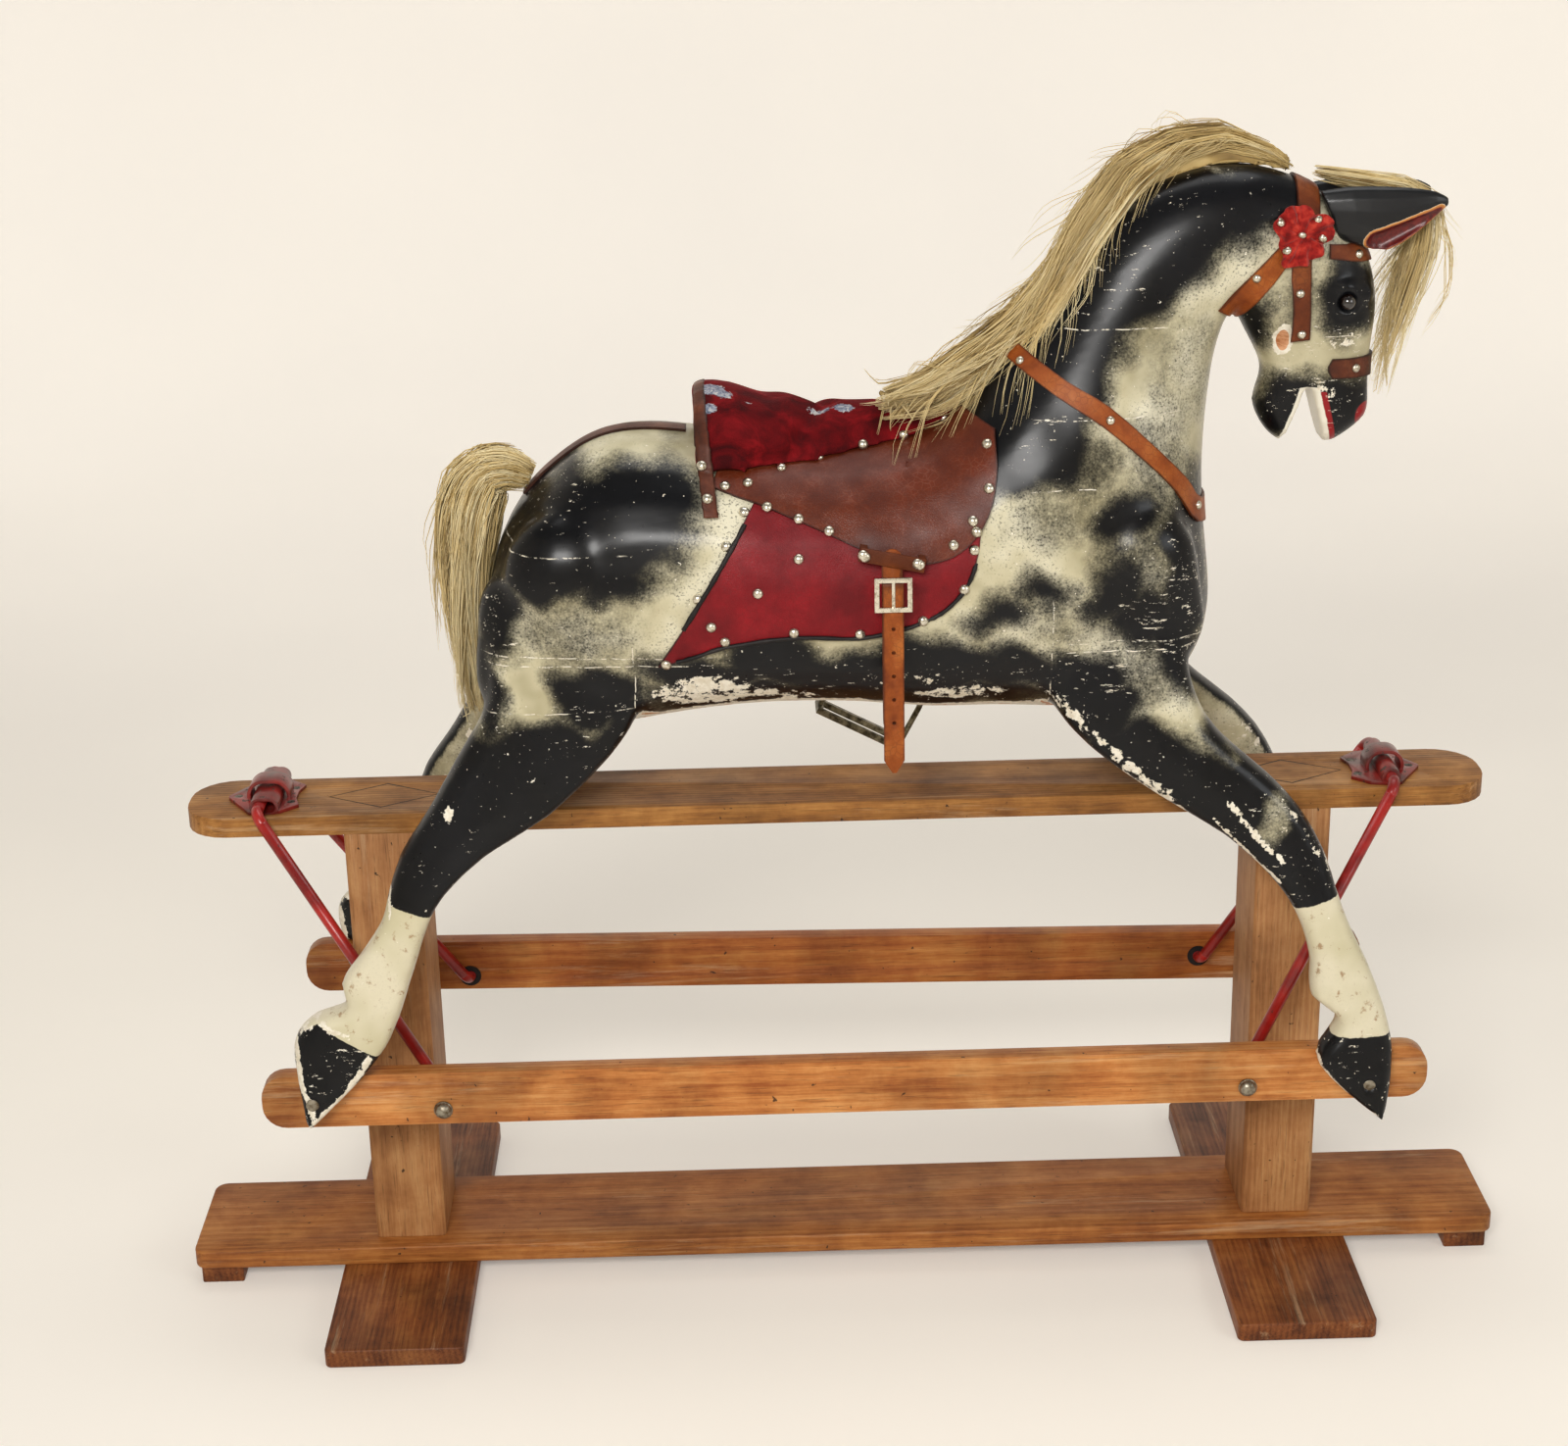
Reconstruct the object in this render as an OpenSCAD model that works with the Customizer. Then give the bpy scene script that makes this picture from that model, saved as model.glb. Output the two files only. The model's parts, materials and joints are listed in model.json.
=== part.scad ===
/* [Base] */
// Length of the long base board
base_l = 1410; // [1200:10:1600]
// Width of the long base board
base_w = 148; // [120:1:180]
// Thickness of the long base board
base_t = 21; // [16:0.5:30]
// Length of a cross foot, across the stand
foot_l = 476; // [380:2:600]
// Width of a cross foot
foot_w = 144; // [110:1:180]
// Thickness of a cross foot and of the end cleats
foot_t = 20.5; // [16:0.5:30]
// Length of an end cleat along the base board
cleat_l = 45; // [30:1:80]

/* [Posts] */
// Distance of each post from the middle of the stand
post_x = 471; // [400:1:500]
// Width of a post along the stand
post_w = 75; // [55:1:90]
// Depth of a post across the stand
post_d = 106; // [80:1:120]
// Height of a post between the boards
post_h = 475.5; // [430:0.5:520]
// Width left on each side of a tenon
tenon_shoulder = 16; // [10:1:24]

/* [Top rail] */
// Length of the top rail
rail_l = 1346; // [1280:2:1500]
// Width of the top rail
rail_w = 106; // [90:1:130]
// Thickness of the top rail
rail_t = 21; // [18:0.5:30]
// Length of the diamond patch over a post joint
patch_l = 118; // [80:1:140]
// Width of the diamond patch
patch_w = 68; // [40:1:90]
// Thickness of the diamond patch
patch_t = 6; // [4:0.5:10]

/* [Swing irons] */
// Diameter of the bent iron rod
rod_d = 12; // [10:0.5:14]
// Distance of the front iron's upper pivot from the middle
pivot_front_x = 571; // [560:1:600]
// Distance of the rear iron's upper pivot from the middle
pivot_rear_x = 594; // [570:1:605]
// Height of the upper pivots above the top rail
pivot_rise = 8; // [7.5:0.5:12]
// Distance of each lower pivot from the middle
pivot_low_x = 411.5; // [395:0.5:425]
// Height of the lower pivots above the floor
pivot_low_z = 257.5; // [250:0.5:285]
// Half width of an iron where it leaves its bracket
iron_top_y = 64; // [62:0.5:72]
// Half width of an iron beside the hoof rails
iron_low_y = 132; // [126:0.5:136]
// Inside bend radius of the irons, to the rod's middle
iron_bend_r = 15; // [12:0.5:20]
// Radial running clearance of the pivots
run_gap = 0.05; // [0.03:0.01:0.09]
// Side play of the rear iron's upper pivot, which is left open
open_play = 10.8; // [10.7:0.1:12]

/* [Hoof rails] */
// Length of a hoof rail
hoof_rail_l = 1191; // [1150:1:1300]
// Distance from the middle to a hoof rail's outer face
hoof_rail_y = 165.7; // [160:0.1:175]
// Thickness of a hoof rail
hoof_rail_t = 20; // [16:0.5:24]
// Height of a hoof rail
hoof_rail_h = 58; // [50:1:70]
// Radius of a hoof rail's rounded ends
hoof_rail_r = 24; // [10:1:28]
// How much lower the far hoof rail hangs at the front pivot than at the rear one
far_rail_drop = 12; // [0:1:14]
// Diameter of the domed caps on the lower pivots
cap_d = 19; // [17:0.5:26]
// Diameter of a hoof bolt
bolt_d = 8; // [6:0.5:9]

/* [Horse] */
// Half width of the barrel under the saddle
barrel_w = 138; // [125:1:150]
// Distance of a leg's middle plane from the centre at hock height
leg_y0 = 122; // [116:1:130]
// Outward slope of the legs, width for height
leg_slope = 0.213; // [0.19:0.001:0.23]
// Half thickness of a leg below the hock
leg_t = 22; // [18:0.5:26]
// Height of the glue line between belly block and body block
belly_joint_z = 720; // [700:1:740]
// Height of the glue line between body block and back block
back_joint_z = 829; // [800:1:850]
// Height of the glue line at the foot of the neck
neck_joint_z = 943; // [925:1:955]
// Height of the glue line in the middle of the neck
neck_lamination_z = 1026; // [1000:1:1045]
// Height of the hoof bolts' axis above the floor at the hind hooves
hind_bolt_z = 281; // [272:1:284]
// Height of the hoof bolts' axis above the floor at the fore hooves
fore_bolt_z = 271; // [264:1:276]
// Forward end of the hind leg blocks
hind_joint_x = -200; // [-210:1:-190]
// Rear end of the fore leg blocks
fore_joint_x = 210; // [200:1:220]

/* [Tack] */
// Thickness of the saddle leather
leather_t = 2.5; // [1.5:0.1:3.5]
// Thickness of the bridle and breast straps
strap_t = 2.5; // [1.5:0.1:3.5]
// Width of a stirrup leather
stirrup_w = 20; // [16:1:26]
// Thickness of a stirrup leather
stirrup_t = 2.6; // [2:0.1:3.2]
// Height of the pin that a stirrup leather hangs from
hang_z = 826; // [816:1:834]
// Distance of the stirrup leathers ahead of the middle
hang_x = 52; // [40:1:60]
// Distance from the centre to the inside of a stirrup leather
hang_y = 146; // [145:0.5:152]
// Height of the near leather's empty loop above the floor
near_loop_z = 668; // [640:1:690]
// Height of the far leather's loop, which holds the stirrup iron
far_loop_z = 633; // [620:1:660]
// Thickness of the stirrup iron's wire
stirrup_wire = 6.4; // [5:0.2:7]
// Inside width of the stirrup iron
stirrup_span = 92; // [80:1:110]

/* [Hidden] */
hoof_rail_z = 270;
leg_z0 = 530;
foot_top = foot_t;
base_top = foot_top + base_t;
post_top = base_top + post_h;
rail_top = post_top + rail_t;
pivot_top_z = rail_top + pivot_rise;
rod_r = rod_d / 2;

// ---------- smooth lofts ----------
// A section is [low x, low z, high x, high z, half width, middle y, squareness].
function blend(a, b, c, d, t) =
  0.5 * (2 * b + (c - a) * t + (2 * a - 5 * b + 4 * c - d) * t * t
         + (3 * b - a - 3 * c + d) * t * t * t);

function smooth(st, k) =
  let (last = len(st) - 1)
  [for (i = [0 : last - 1], j = [0 : k - 1])
     blend(st[max(i - 1, 0)], st[i], st[i + 1], st[min(i + 2, last)], j / k),
   st[last]];

function lobe(v, p) = sign(v) * pow(abs(v), 2 / p);

function ring(s, n, grow) =
  let (low = [s[0], s[1]], high = [s[2], s[3]],
       half = (high - low) / 2, mid = (high + low) / 2,
       h = norm(half), u = half / h)
  [for (i = [0 : n - 1])
     let (a = 360 * i / n,
          along = (h + grow) * lobe(cos(a), s[6]),
          across = (s[4] + grow) * lobe(sin(a), s[6]))
     [mid[0] + u[0] * along, s[5] + across, mid[1] + u[1] * along]];

module loft(st, k, n, grow = 0) {
  rings = [for (s = smooth(st, k)) ring(s, n, grow)];
  m = len(rings);
  polyhedron(
    points = [for (r = rings) each r],
    faces = [
      [for (i = [n - 1 : -1 : 0]) i],
      [for (i = [0 : n - 1]) (m - 1) * n + i],
      for (j = [0 : m - 2], i = [0 : n - 1])
        let (a = j * n + i, b = j * n + (i + 1) % n)
        each [[a, b + n, a + n], [a, b, b + n]]
    ],
    convexity = 8);
}

bw = barrel_w;
trunk_sections = [
  [-352, 700, -349, 755, 34, 0, 2],
  [-350, 655, -335, 812, 74, 0, 2.1],
  [-332, 626, -307, 862, 102, 0, 2.2],
  [-288, 618, -264, 901, bw - 18, 0, 2.3],
  [-242, 620, -224, 922, bw - 8, 0, 2.3],
  [-195, 628, -178, 926, bw - 3, 0, 2.3],
  [-130, 638, -122, 919, bw - 1, 0, 2.3],
  [-60, 643, -55, 909, bw, 0, 2.3],
  [20, 641, 12, 906, bw, 0, 2.3],
  [95, 633, 72, 914, bw - 1, 0, 2.3],
  [160, 632, 112, 932, bw - 4, 0, 2.3],
  [228, 628, 136, 955, bw - 7, 0, 2.3],
  [290, 628, 148, 977, bw - 11, 0, 2.2],
  [345, 650, 160, 996, bw - 16, 0, 2.2],
  [373, 690, 176, 1015, 114, 0, 2.1],
  [381, 738, 194, 1034, 105, 0, 2.1],
  [377, 785, 211, 1053, 95, 0, 2.1],
  [372, 830, 226, 1071, 85, 0, 2.1],
  [370, 872, 240, 1088, 76, 0, 2.1],
  [371, 912, 256, 1108, 68, 0, 2.1],
  [374, 952, 281, 1133, 61, 0, 2.1],
  [378, 985, 313, 1153, 57, 0, 2.1],
  [384, 1010, 351, 1167, 54, 0, 2.1],
  [390, 1026, 392, 1172, 51, 0, 2.1],
  [395, 1031, 432, 1164, 49, 0, 2.1],
  [398, 1027, 468, 1149, 47, 0, 2.2],
  [402, 1019, 498, 1124, 45, 0, 2.3],
  [407, 1009, 519, 1096, 43, 0, 2.3],
  [413, 999, 531, 1065, 42, 0, 2.3],
  [419, 988, 536, 1035, 40, 0, 2.3],
  [424, 976, 535, 1008, 37, 0, 2.3],
  [425, 964, 533, 984, 34, 0, 2.3],
  [421, 950, 533, 958, 32, 0, 2.3],
  [418, 936, 534, 938, 31, 0, 2.3],
  [424, 920, 533, 922, 29, 0, 2.3],
  [434, 905, 518, 907, 25, 0, 2.3],
  [447, 895, 501, 895, 17, 0, 2.3]
];

function leg_y(z) = leg_y0 + (leg_z0 - z) * leg_slope;
function leg_section(back, front, t) =
  [back[0], back[1], front[0], front[1], t, leg_y((back[1] + front[1]) / 2), 3.2];

hind_sections = [
  leg_section([-338, 790], [-205, 770], 34),
  leg_section([-347, 720], [-190, 700], 34),
  leg_section([-348, 676], [-196, 660], 32),
  leg_section([-378, 625], [-226, 617], 29),
  leg_section([-412, 568], [-287, 562], 26),
  leg_section([-441, 526], [-352, 524], 23),
  leg_section([-456, 484], [-396, 486], leg_t),
  leg_section([-463, 458], [-415, 456], leg_t),
  leg_section([-487, 424], [-428, 420], leg_t),
  leg_section([-507, 398], [-437, 395], leg_t),
  leg_section([-502, 374], [-446, 369], leg_t),
  leg_section([-536, 365], [-454, 350], leg_t),
  leg_section([-557, 343], [-463, 332], leg_t),
  leg_section([-556, 306], [-487, 303], leg_t),
  leg_section([-551, 277], [-517, 276], leg_t),
  leg_section([-547, 255], [-543, 253], leg_t - 3)
];

fore_sections = [
  leg_section([206, 740], [344, 790], 34),
  leg_section([203, 690], [346, 735], 34),
  leg_section([214, 652], [350, 690], 32),
  leg_section([248, 614], [366, 644], 30),
  leg_section([290, 582], [396, 611], 28),
  leg_section([336, 552], [432, 580], 26),
  leg_section([383, 523], [463, 545], 24),
  leg_section([423, 488], [486, 503], leg_t),
  leg_section([449, 456], [498, 466], leg_t),
  leg_section([464, 425], [511, 430], leg_t),
  leg_section([472, 392], [529, 393], leg_t),
  leg_section([472, 358], [543, 358], leg_t),
  leg_section([501, 336], [550, 335], leg_t),
  leg_section([482, 308], [556, 308], leg_t),
  leg_section([479, 290], [556, 287], leg_t),
  leg_section([503, 264], [553, 262], leg_t),
  leg_section([541, 234], [546, 233], leg_t - 3)
];

module both_sides() {
  children();
  mirror([0, 1, 0]) children();
}

// One muscle: two balls, flattened across the horse, joined by a hull.
module muscle(a, b, ra, rb, flat, grow) {
  hull() {
    translate(a) scale([1, flat, 1]) sphere(ra + grow, $fn = 14);
    translate(b) scale([1, flat, 1]) sphere(rb + grow, $fn = 14);
  }
}

module muscles(grow = 0) {
  both_sides() {
    muscle([296, 92, 800], [318, 78, 735], 60, 50, 0.62, grow);
    muscle([-262, 86, 800], [-225, 82, 705], 66, 56, 0.72, grow);
    muscle([-312, 66, 760], [-320, 70, 690], 44, 42, 0.8, grow);
    muscle([436, 26, 1046], [446, 25, 1026], 31, 26, 0.72, grow);
    muscle([497, 25, 1052], [516, 22, 1046], 17, 14, 1, grow);
  }
}

module horse_form(grow = 0) {
  loft(trunk_sections, 2, 22, grow);
  both_sides() {
    loft(hind_sections, 2, 12, grow);
    loft(fore_sections, 2, 12, grow);
  }
  muscles(grow);
}

// ---------- helpers ----------
gap = 0.3;                       // clearance between soft pieces and what carries them
fit = 0.2;                       // clearance round a wood joint
stack = gap + leather_t + gap + leather_t;  // saddle cloth and flap together

// Rounded rectangle as points: corners of radius r drawn with 6 steps each.
function rounded(l, w, r) =
  [for (q = [0 : 3], i = [0 : 6])
     let (a = 90 * q + 15 * i, sx = (q == 0 || q == 3) ? 1 : -1, sy = q < 2 ? 1 : -1)
     [sx * (l / 2 - r) + r * cos(a), sy * (w / 2 - r) + r * sin(a)]];

// Outline in the side view, pulled through the horse from y0 to y1.
module slab(points, y0, y1) {
  translate([0, y1, 0]) rotate([90, 0, 0]) linear_extrude(y1 - y0) polygon(points);
}

// Closed smooth outline through the given points.
function smooth_outline(p, k = 4) =
  let (n = len(p))
  [for (i = [0 : n - 1], j = [0 : k - 1])
     blend(p[(i + n - 1) % n], p[i], p[(i + 1) % n], p[(i + 2) % n], j / k)];

// Skin of leather over the horse between two heights above the wood.
module skin(inner, outer) {
  difference() {
    horse_form(outer);
    horse_form(inner);
  }
}

module front_and_rear() {
  children();
  mirror([1, 0, 0]) children();
}

// ---------- stand ----------
tenon_w = post_w - 2 * tenon_shoulder;
tenon_d = post_d - 2 * tenon_shoulder;
module tenon(extra, z0, z1) {
  translate([-tenon_w / 2 - extra, -tenon_d / 2 - extra, z0])
    cube([tenon_w + 2 * extra, tenon_d + 2 * extra, z1 - z0]);
}

module base_board() {
  color("peru") difference() {
    translate([0, 0, foot_top]) linear_extrude(base_t) polygon(rounded(base_l, base_w, 14));
    front_and_rear() translate([post_x, 0, 0]) tenon(fit, foot_top - 1, base_top + 1);
  }
}

module cross_foot() {
  color("sienna") linear_extrude(foot_t) polygon(rounded(foot_w, foot_l, 7));
}
module cross_foot_front() { translate([post_x, 0, 0]) cross_foot(); }
module cross_foot_rear() { translate([-post_x, 0, 0]) cross_foot(); }

cleat_inset = 6;
module end_cleats() {
  color("sienna") front_and_rear()
    translate([base_l / 2 - cleat_inset - cleat_l, -base_w / 2 + cleat_inset, 0])
      cube([cleat_l, base_w - 2 * cleat_inset, foot_t]);
}

chamfer = 3;
module post() {
  hx = post_w / 2;
  hy = post_d / 2;
  color("burlywood") union() {
    translate([0, 0, base_top]) linear_extrude(post_h)
      polygon([[-hx + chamfer, -hy], [hx - chamfer, -hy], [hx, -hy + chamfer], [hx, hy - chamfer],
               [hx - chamfer, hy], [-hx + chamfer, hy], [-hx, hy - chamfer], [-hx, -hy + chamfer]]);
    tenon(0, foot_top + fit, base_top);
    tenon(0, post_top, rail_top - patch_t - fit);
  }
}
module post_front() { translate([post_x, 0, 0]) post(); }
module post_rear() { translate([-post_x, 0, 0]) post(); }

module diamond(extra) {
  a = patch_l / 2 + extra;
  b = patch_w / 2 + extra;
  translate([post_x, 0, rail_top - patch_t]) linear_extrude(patch_t + extra * 10)
    polygon([[-a, 0], [0, -b], [a, 0], [0, b]]);
}

screw_r = 2;
screw_head_r = 4.4;
screw_reach = 12;
screw_places = [[28, 0], [-29, -19], [-29, 19]];
// Children stand at both brackets, their +X pointing outwards.
module at_brackets() {
  translate([pivot_front_x, 0, 0]) children();
  mirror([1, 0, 0]) translate([pivot_rear_x, 0, 0]) children();
}
module at_screws() { for (p = screw_places) translate([p[0], p[1], 0]) children(); }

rail_corner = 44;
module top_rail() {
  color("saddlebrown") difference() {
    translate([0, 0, post_top]) linear_extrude(rail_t) polygon(rounded(rail_l, rail_w, rail_corner));
    front_and_rear() {
      translate([post_x, 0, 0]) tenon(fit, post_top - 1, rail_top - patch_t + 1);
      diamond(fit);
    }
    at_brackets() at_screws() translate([0, 0, rail_top - screw_reach])
      cylinder(r = screw_r, h = screw_reach + 1, $fn = 24);
  }
}
module diamond_patches() { color("peru") front_and_rear() diamond(0); }

// ---------- brackets ----------
plate_t = 3.5;
plate_outline = [[38, -2], [11, -45], [-6, -46], [-21, -43], [-38, -27], [-33, -10], [-33, 10],
                 [-38, 27], [-21, 43], [-6, 46], [11, 45], [38, 2]];
tube_l = 90;
tube_r = 9.5;
hump_l = 26;
hump_r = 17;
hump_wall = 3.5;
hump_flat = 6;
open_rise = 0.25;                // room over and under the rod in the open pivot
// Bar along Y with a round top and bottom, widened inwards by slot.
module bar(slot, r, l) {
  for (x = [0, -slot]) translate([x, l / 2, pivot_top_z]) rotate([90, 0, 0]) cylinder(r = r, h = l, $fn = 48);
  if (slot > 0) translate([-slot, -l / 2, pivot_top_z - r]) cube([slot, l, 2 * r]);
}
module above_rail() { translate([-60, -60, rail_top]) cube([120, 120, 60]); }
// Cast plate with a tube for the rod and an arch over the tube's middle.
module bracket(slot) {
  flat = max(slot, hump_flat);
  color("darkred") difference() {
    intersection() {
      union() {
        translate([0, 0, rail_top]) linear_extrude(plate_t) polygon(plate_outline);
        bar(slot, tube_r, tube_l);
        difference() {
          translate([(flat - slot) / 2, 0, 0]) bar(flat, hump_r, hump_l);
          translate([(flat - slot) / 2, 0, 0]) bar(flat, hump_r - hump_wall, hump_l + 2);
        }
      }
      above_rail();
    }
    bar(slot, rod_r + (slot > 0 ? open_rise : run_gap), tube_l + 2);
    at_screws() {
      translate([0, 0, rail_top - 1]) cylinder(r = screw_r, h = plate_t + 2, $fn = 24);
      translate([0, 0, rail_top + 1]) cylinder(r1 = screw_r, r2 = screw_head_r, h = plate_t - 1, $fn = 32);
    }
  }
}
module bracket_front() { translate([pivot_front_x, 0, 0]) bracket(0); }
module bracket_rear() { mirror([1, 0, 0]) translate([pivot_rear_x, 0, 0]) bracket(open_play); }
module bracket_screws() {
  color("dimgray") at_brackets() at_screws() {
    translate([0, 0, rail_top - screw_reach]) cylinder(r = screw_r, h = screw_reach + 1, $fn = 24);
    translate([0, 0, rail_top + 1]) cylinder(r1 = screw_r, r2 = screw_head_r, h = plate_t - 1, $fn = 32);
  }
}

// ---------- swing irons ----------
cap_y = hoof_rail_y + 0.3;
// Corners of one side of an iron, from the bracket down to the cap.
function iron_path(top_x) =
  [[top_x, 0, pivot_top_z], [top_x, iron_top_y, pivot_top_z],
   [pivot_low_x, iron_low_y, pivot_low_z], [pivot_low_x, cap_y + 5, pivot_low_z]];
function unit(v) = v / norm(v);

// Rod from a to b.
module rod(a, b, r) {
  d = b - a;
  translate(a) rotate([0, acos(d[2] / norm(d)), atan2(d[1], d[0])]) cylinder(r = r, h = norm(d), $fn = 32);
}
// Bend at corner p between directions d1 and d2, as a piece of a torus that runs a little into both rods.
bend_lap = 1.5;
bend_relief = 0.02;
module bend(p, d1, d2, bend_r, r) {
  turn = acos(d1 * d2);
  out = unit(d1 - d2);
  centre = p - out * bend_r / cos(turn / 2);
  from = unit(p - d1 * bend_r * tan(turn / 2) - centre);
  up = cross(from, d1);
  multmatrix([[from[0], d1[0], up[0], centre[0]],
              [from[1], d1[1], up[1], centre[1]],
              [from[2], d1[2], up[2], centre[2]], [0, 0, 0, 1]])
    rotate([0, 0, -bend_lap]) rotate_extrude(angle = turn + 2 * bend_lap, $fn = 96)
      translate([bend_r, 0]) circle(r = r - bend_relief, $fn = 32);
}
function setback(d1, d2, bend_r) = bend_r * tan(acos(d1 * d2) / 2);
// Rod along corners p, bent at the inner corners.
module bent_rod(p, bend_r, r) {
  n = len(p);
  dirs = [for (i = [0 : n - 2]) unit(p[i + 1] - p[i])];
  backs = [0, for (i = [1 : n - 2]) setback(dirs[i - 1], dirs[i], bend_r), 0];
  for (i = [0 : n - 2]) rod(p[i] + dirs[i] * backs[i], p[i + 1] - dirs[i] * backs[i + 1], r);
  for (i = [1 : n - 2]) bend(p[i], dirs[i - 1], dirs[i], bend_r, r);
}
function mirrored_y(v) = [v[0], -v[1], v[2]];
function both_ways(p) = [for (i = [len(p) - 1 : -1 : 1]) mirrored_y(p[i]), for (i = [1 : len(p) - 1]) p[i]];
module swing_iron(top_x) { color("firebrick") bent_rod(both_ways(iron_path(top_x)), iron_bend_r, rod_r); }
module swing_iron_front() { swing_iron(pivot_front_x); }
module swing_iron_rear() { mirror([1, 0, 0]) swing_iron(pivot_rear_x); }

module axle_caps() {
  r = cap_d / 2;
  color("silver") both_sides() translate([pivot_low_x, cap_y, pivot_low_z]) rotate([-90, 0, 0]) difference() {
    rotate_extrude($fn = 48) polygon([[0, 0], [r, 0], [r, 2], for (a = [0 : 10 : 90]) [r * cos(a) * 0.92, 2 + 7 * sin(a)]]);
    translate([0, 0, -1]) cylinder(r = rod_r, h = 6, $fn = 32);
  }
}
module axle_caps_front() { axle_caps(); }
module axle_caps_rear() { mirror([1, 0, 0]) axle_caps(); }

// ---------- hoof rails ----------
hind_bolt_x = -539;
fore_bolt_x = 529;
bolt_gap = 0.08;                 // clearance round a bolt and its head
function bolt_places() = [[hind_bolt_x, hind_bolt_z], [fore_bolt_x, fore_bolt_z]];
module across(x, z, y0, y1, r) {
  translate([x, y0, z]) rotate([-90, 0, 0]) cylinder(r = r, h = y1 - y0, $fn = 40);
}
// Height of a hoof rail's middle at x, for a rail that hangs lower by drop at the front pivot.
function rail_middle(x, drop) = hoof_rail_z - drop * (x + pivot_low_x) / (2 * pivot_low_x);
module hoof_rail(drop) {
  inner = hoof_rail_y - hoof_rail_t;
  color("chocolate") difference() {
    slab([for (p = rounded(hoof_rail_l, hoof_rail_h, hoof_rail_r)) [p[0], p[1] + rail_middle(p[0], drop)]],
         inner, hoof_rail_y);
    for (x = [-pivot_low_x, pivot_low_x]) across(x, pivot_low_z, inner - 1, hoof_rail_y + 1, rod_r + run_gap);
    for (b = bolt_places()) across(b[0], b[1], inner - 1, hoof_rail_y + 1, bolt_d / 2 + bolt_gap);
  }
}
module hoof_rail_far() { hoof_rail(far_rail_drop); }
module hoof_rail_near() { mirror([0, 1, 0]) hoof_rail(0); }

bolt_head_r = 6.5;
bolt_head_h = 4;
nut_r = 8;
nut_h = 6;
// Outside of the hoof at a bolt: the head lies in a counterbore there.
function head_y(z) = leg_y(z) + leg_t - 2.4;
module hoof_bolts() {
  inner = hoof_rail_y - hoof_rail_t;
  color("darkgray") both_sides() for (b = bolt_places()) {
    across(b[0], b[1], inner - nut_h - 2, head_y(b[1]), bolt_d / 2);
    across(b[0], b[1], head_y(b[1]) - bolt_head_h, head_y(b[1]), bolt_head_r);
    translate([b[0], inner - nut_h, b[1]]) rotate([-90, 0, 0]) cylinder(r = nut_r, h = nut_h, $fn = 6);
  }
}

// ---------- the carved horse ----------
far = 400;
// Space of a leg block; the hoof seats on the rail's outer face and top.
module leg_space(hind) {
  x0 = hind ? -far * 2 : fore_joint_x;
  x1 = hind ? hind_joint_x : far * 2;
  translate([x0, leg_inner_y, 0]) cube([x1 - x0, far, belly_joint_z]);
}
leg_inner_y = 44;
eye_place = [501, 37, 1040];
eye_r = 8;
head_cut = [[330, 1230], [424, 1100], [374, 1036], [374, 880], [660, 880], [660, 1230]];
mouth_cut = [[470, 966], [445, 885], [490, 885]];

// Space under a hoof rail's top, inside its outer face.
module rail_notch(drop) {
  slab([for (x = [-far * 2, far * 2]) [x, rail_middle(x, drop) + hoof_rail_h / 2], [far * 2, 0], [-far * 2, 0]],
       -1, hoof_rail_y);
}
module leg(hind, drop) {
  color("ivory") difference() {
    intersection() {
      horse_form();
      leg_space(hind);
    }
    rail_notch(drop);
    for (b = bolt_places()) {
      across(b[0], b[1], hoof_rail_y - 1, far, bolt_d / 2 + bolt_gap);
      across(b[0], b[1], head_y(b[1]) - bolt_head_h, far, bolt_head_r + bolt_gap);
    }
  }
}
module leg_hind_far() { leg(true, far_rail_drop); }
module leg_hind_near() { mirror([0, 1, 0]) leg(true, 0); }
module leg_fore_far() { leg(false, far_rail_drop); }
module leg_fore_near() { mirror([0, 1, 0]) leg(false, 0); }

module layer(z0, z1) { translate([-far * 2, -far, z0]) cube([far * 4, far * 2, z1 - z0]); }
module belly_block() {
  color("ivory") difference() {
    intersection() {
      horse_form();
      layer(0, belly_joint_z);
    }
    both_sides() {
      leg_space(true);
      leg_space(false);
    }
  }
}
module body_block() { color("ivory") intersection() { horse_form(); layer(belly_joint_z, back_joint_z); } }
module head_space() { slab(head_cut, -far, far); }
module upper_block(z0, z1) {
  difference() {
    intersection() { horse_form(); layer(z0, z1); }
    head_space();
  }
}
module back_block() { color("ivory") upper_block(back_joint_z, neck_joint_z); }
module neck_block() { color("ivory") upper_block(neck_joint_z, neck_lamination_z); }
module crest_block() { color("ivory") upper_block(neck_lamination_z, far * 4); }
module head() {
  color("ivory") difference() {
    intersection() { horse_form(); head_space(); }
    slab(mouth_cut, -far, far);
    both_sides() translate(eye_place - [0, eye_r, 0]) rotate([-90, 0, 0]) cylinder(r = eye_r + 0.1, h = 40, $fn = 20);
    both_sides() ear_shape(0);
  }
}
module eyes() { color("black") both_sides() translate(eye_place) sphere(r = eye_r, $fn = 32); }

ear_sections = [
  [492, 1098, 472, 1146, 11, 25, 2],
  [512, 1092, 500, 1150, 13, 28, 2],
  [538, 1088, 530, 1150, 12, 31, 2],
  [562, 1102, 560, 1148, 9, 33, 2],
  [584, 1122, 582, 1144, 5, 34, 2],
  [594, 1131, 593, 1138, 2, 34, 2]
];
module ear_shape(grow) { loft(ear_sections, 2, 14, grow); }
module ear() {
  color("black") difference() {
    ear_shape(0);
    hull() {
      translate([528, 40, 1096]) sphere(r = 12, $fn = 16);
      translate([580, 41, 1122]) sphere(r = 5, $fn = 16);
    }
  }
}
module ear_far() { ear(); }
module ear_near() { mirror([0, 1, 0]) ear(); }

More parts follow.
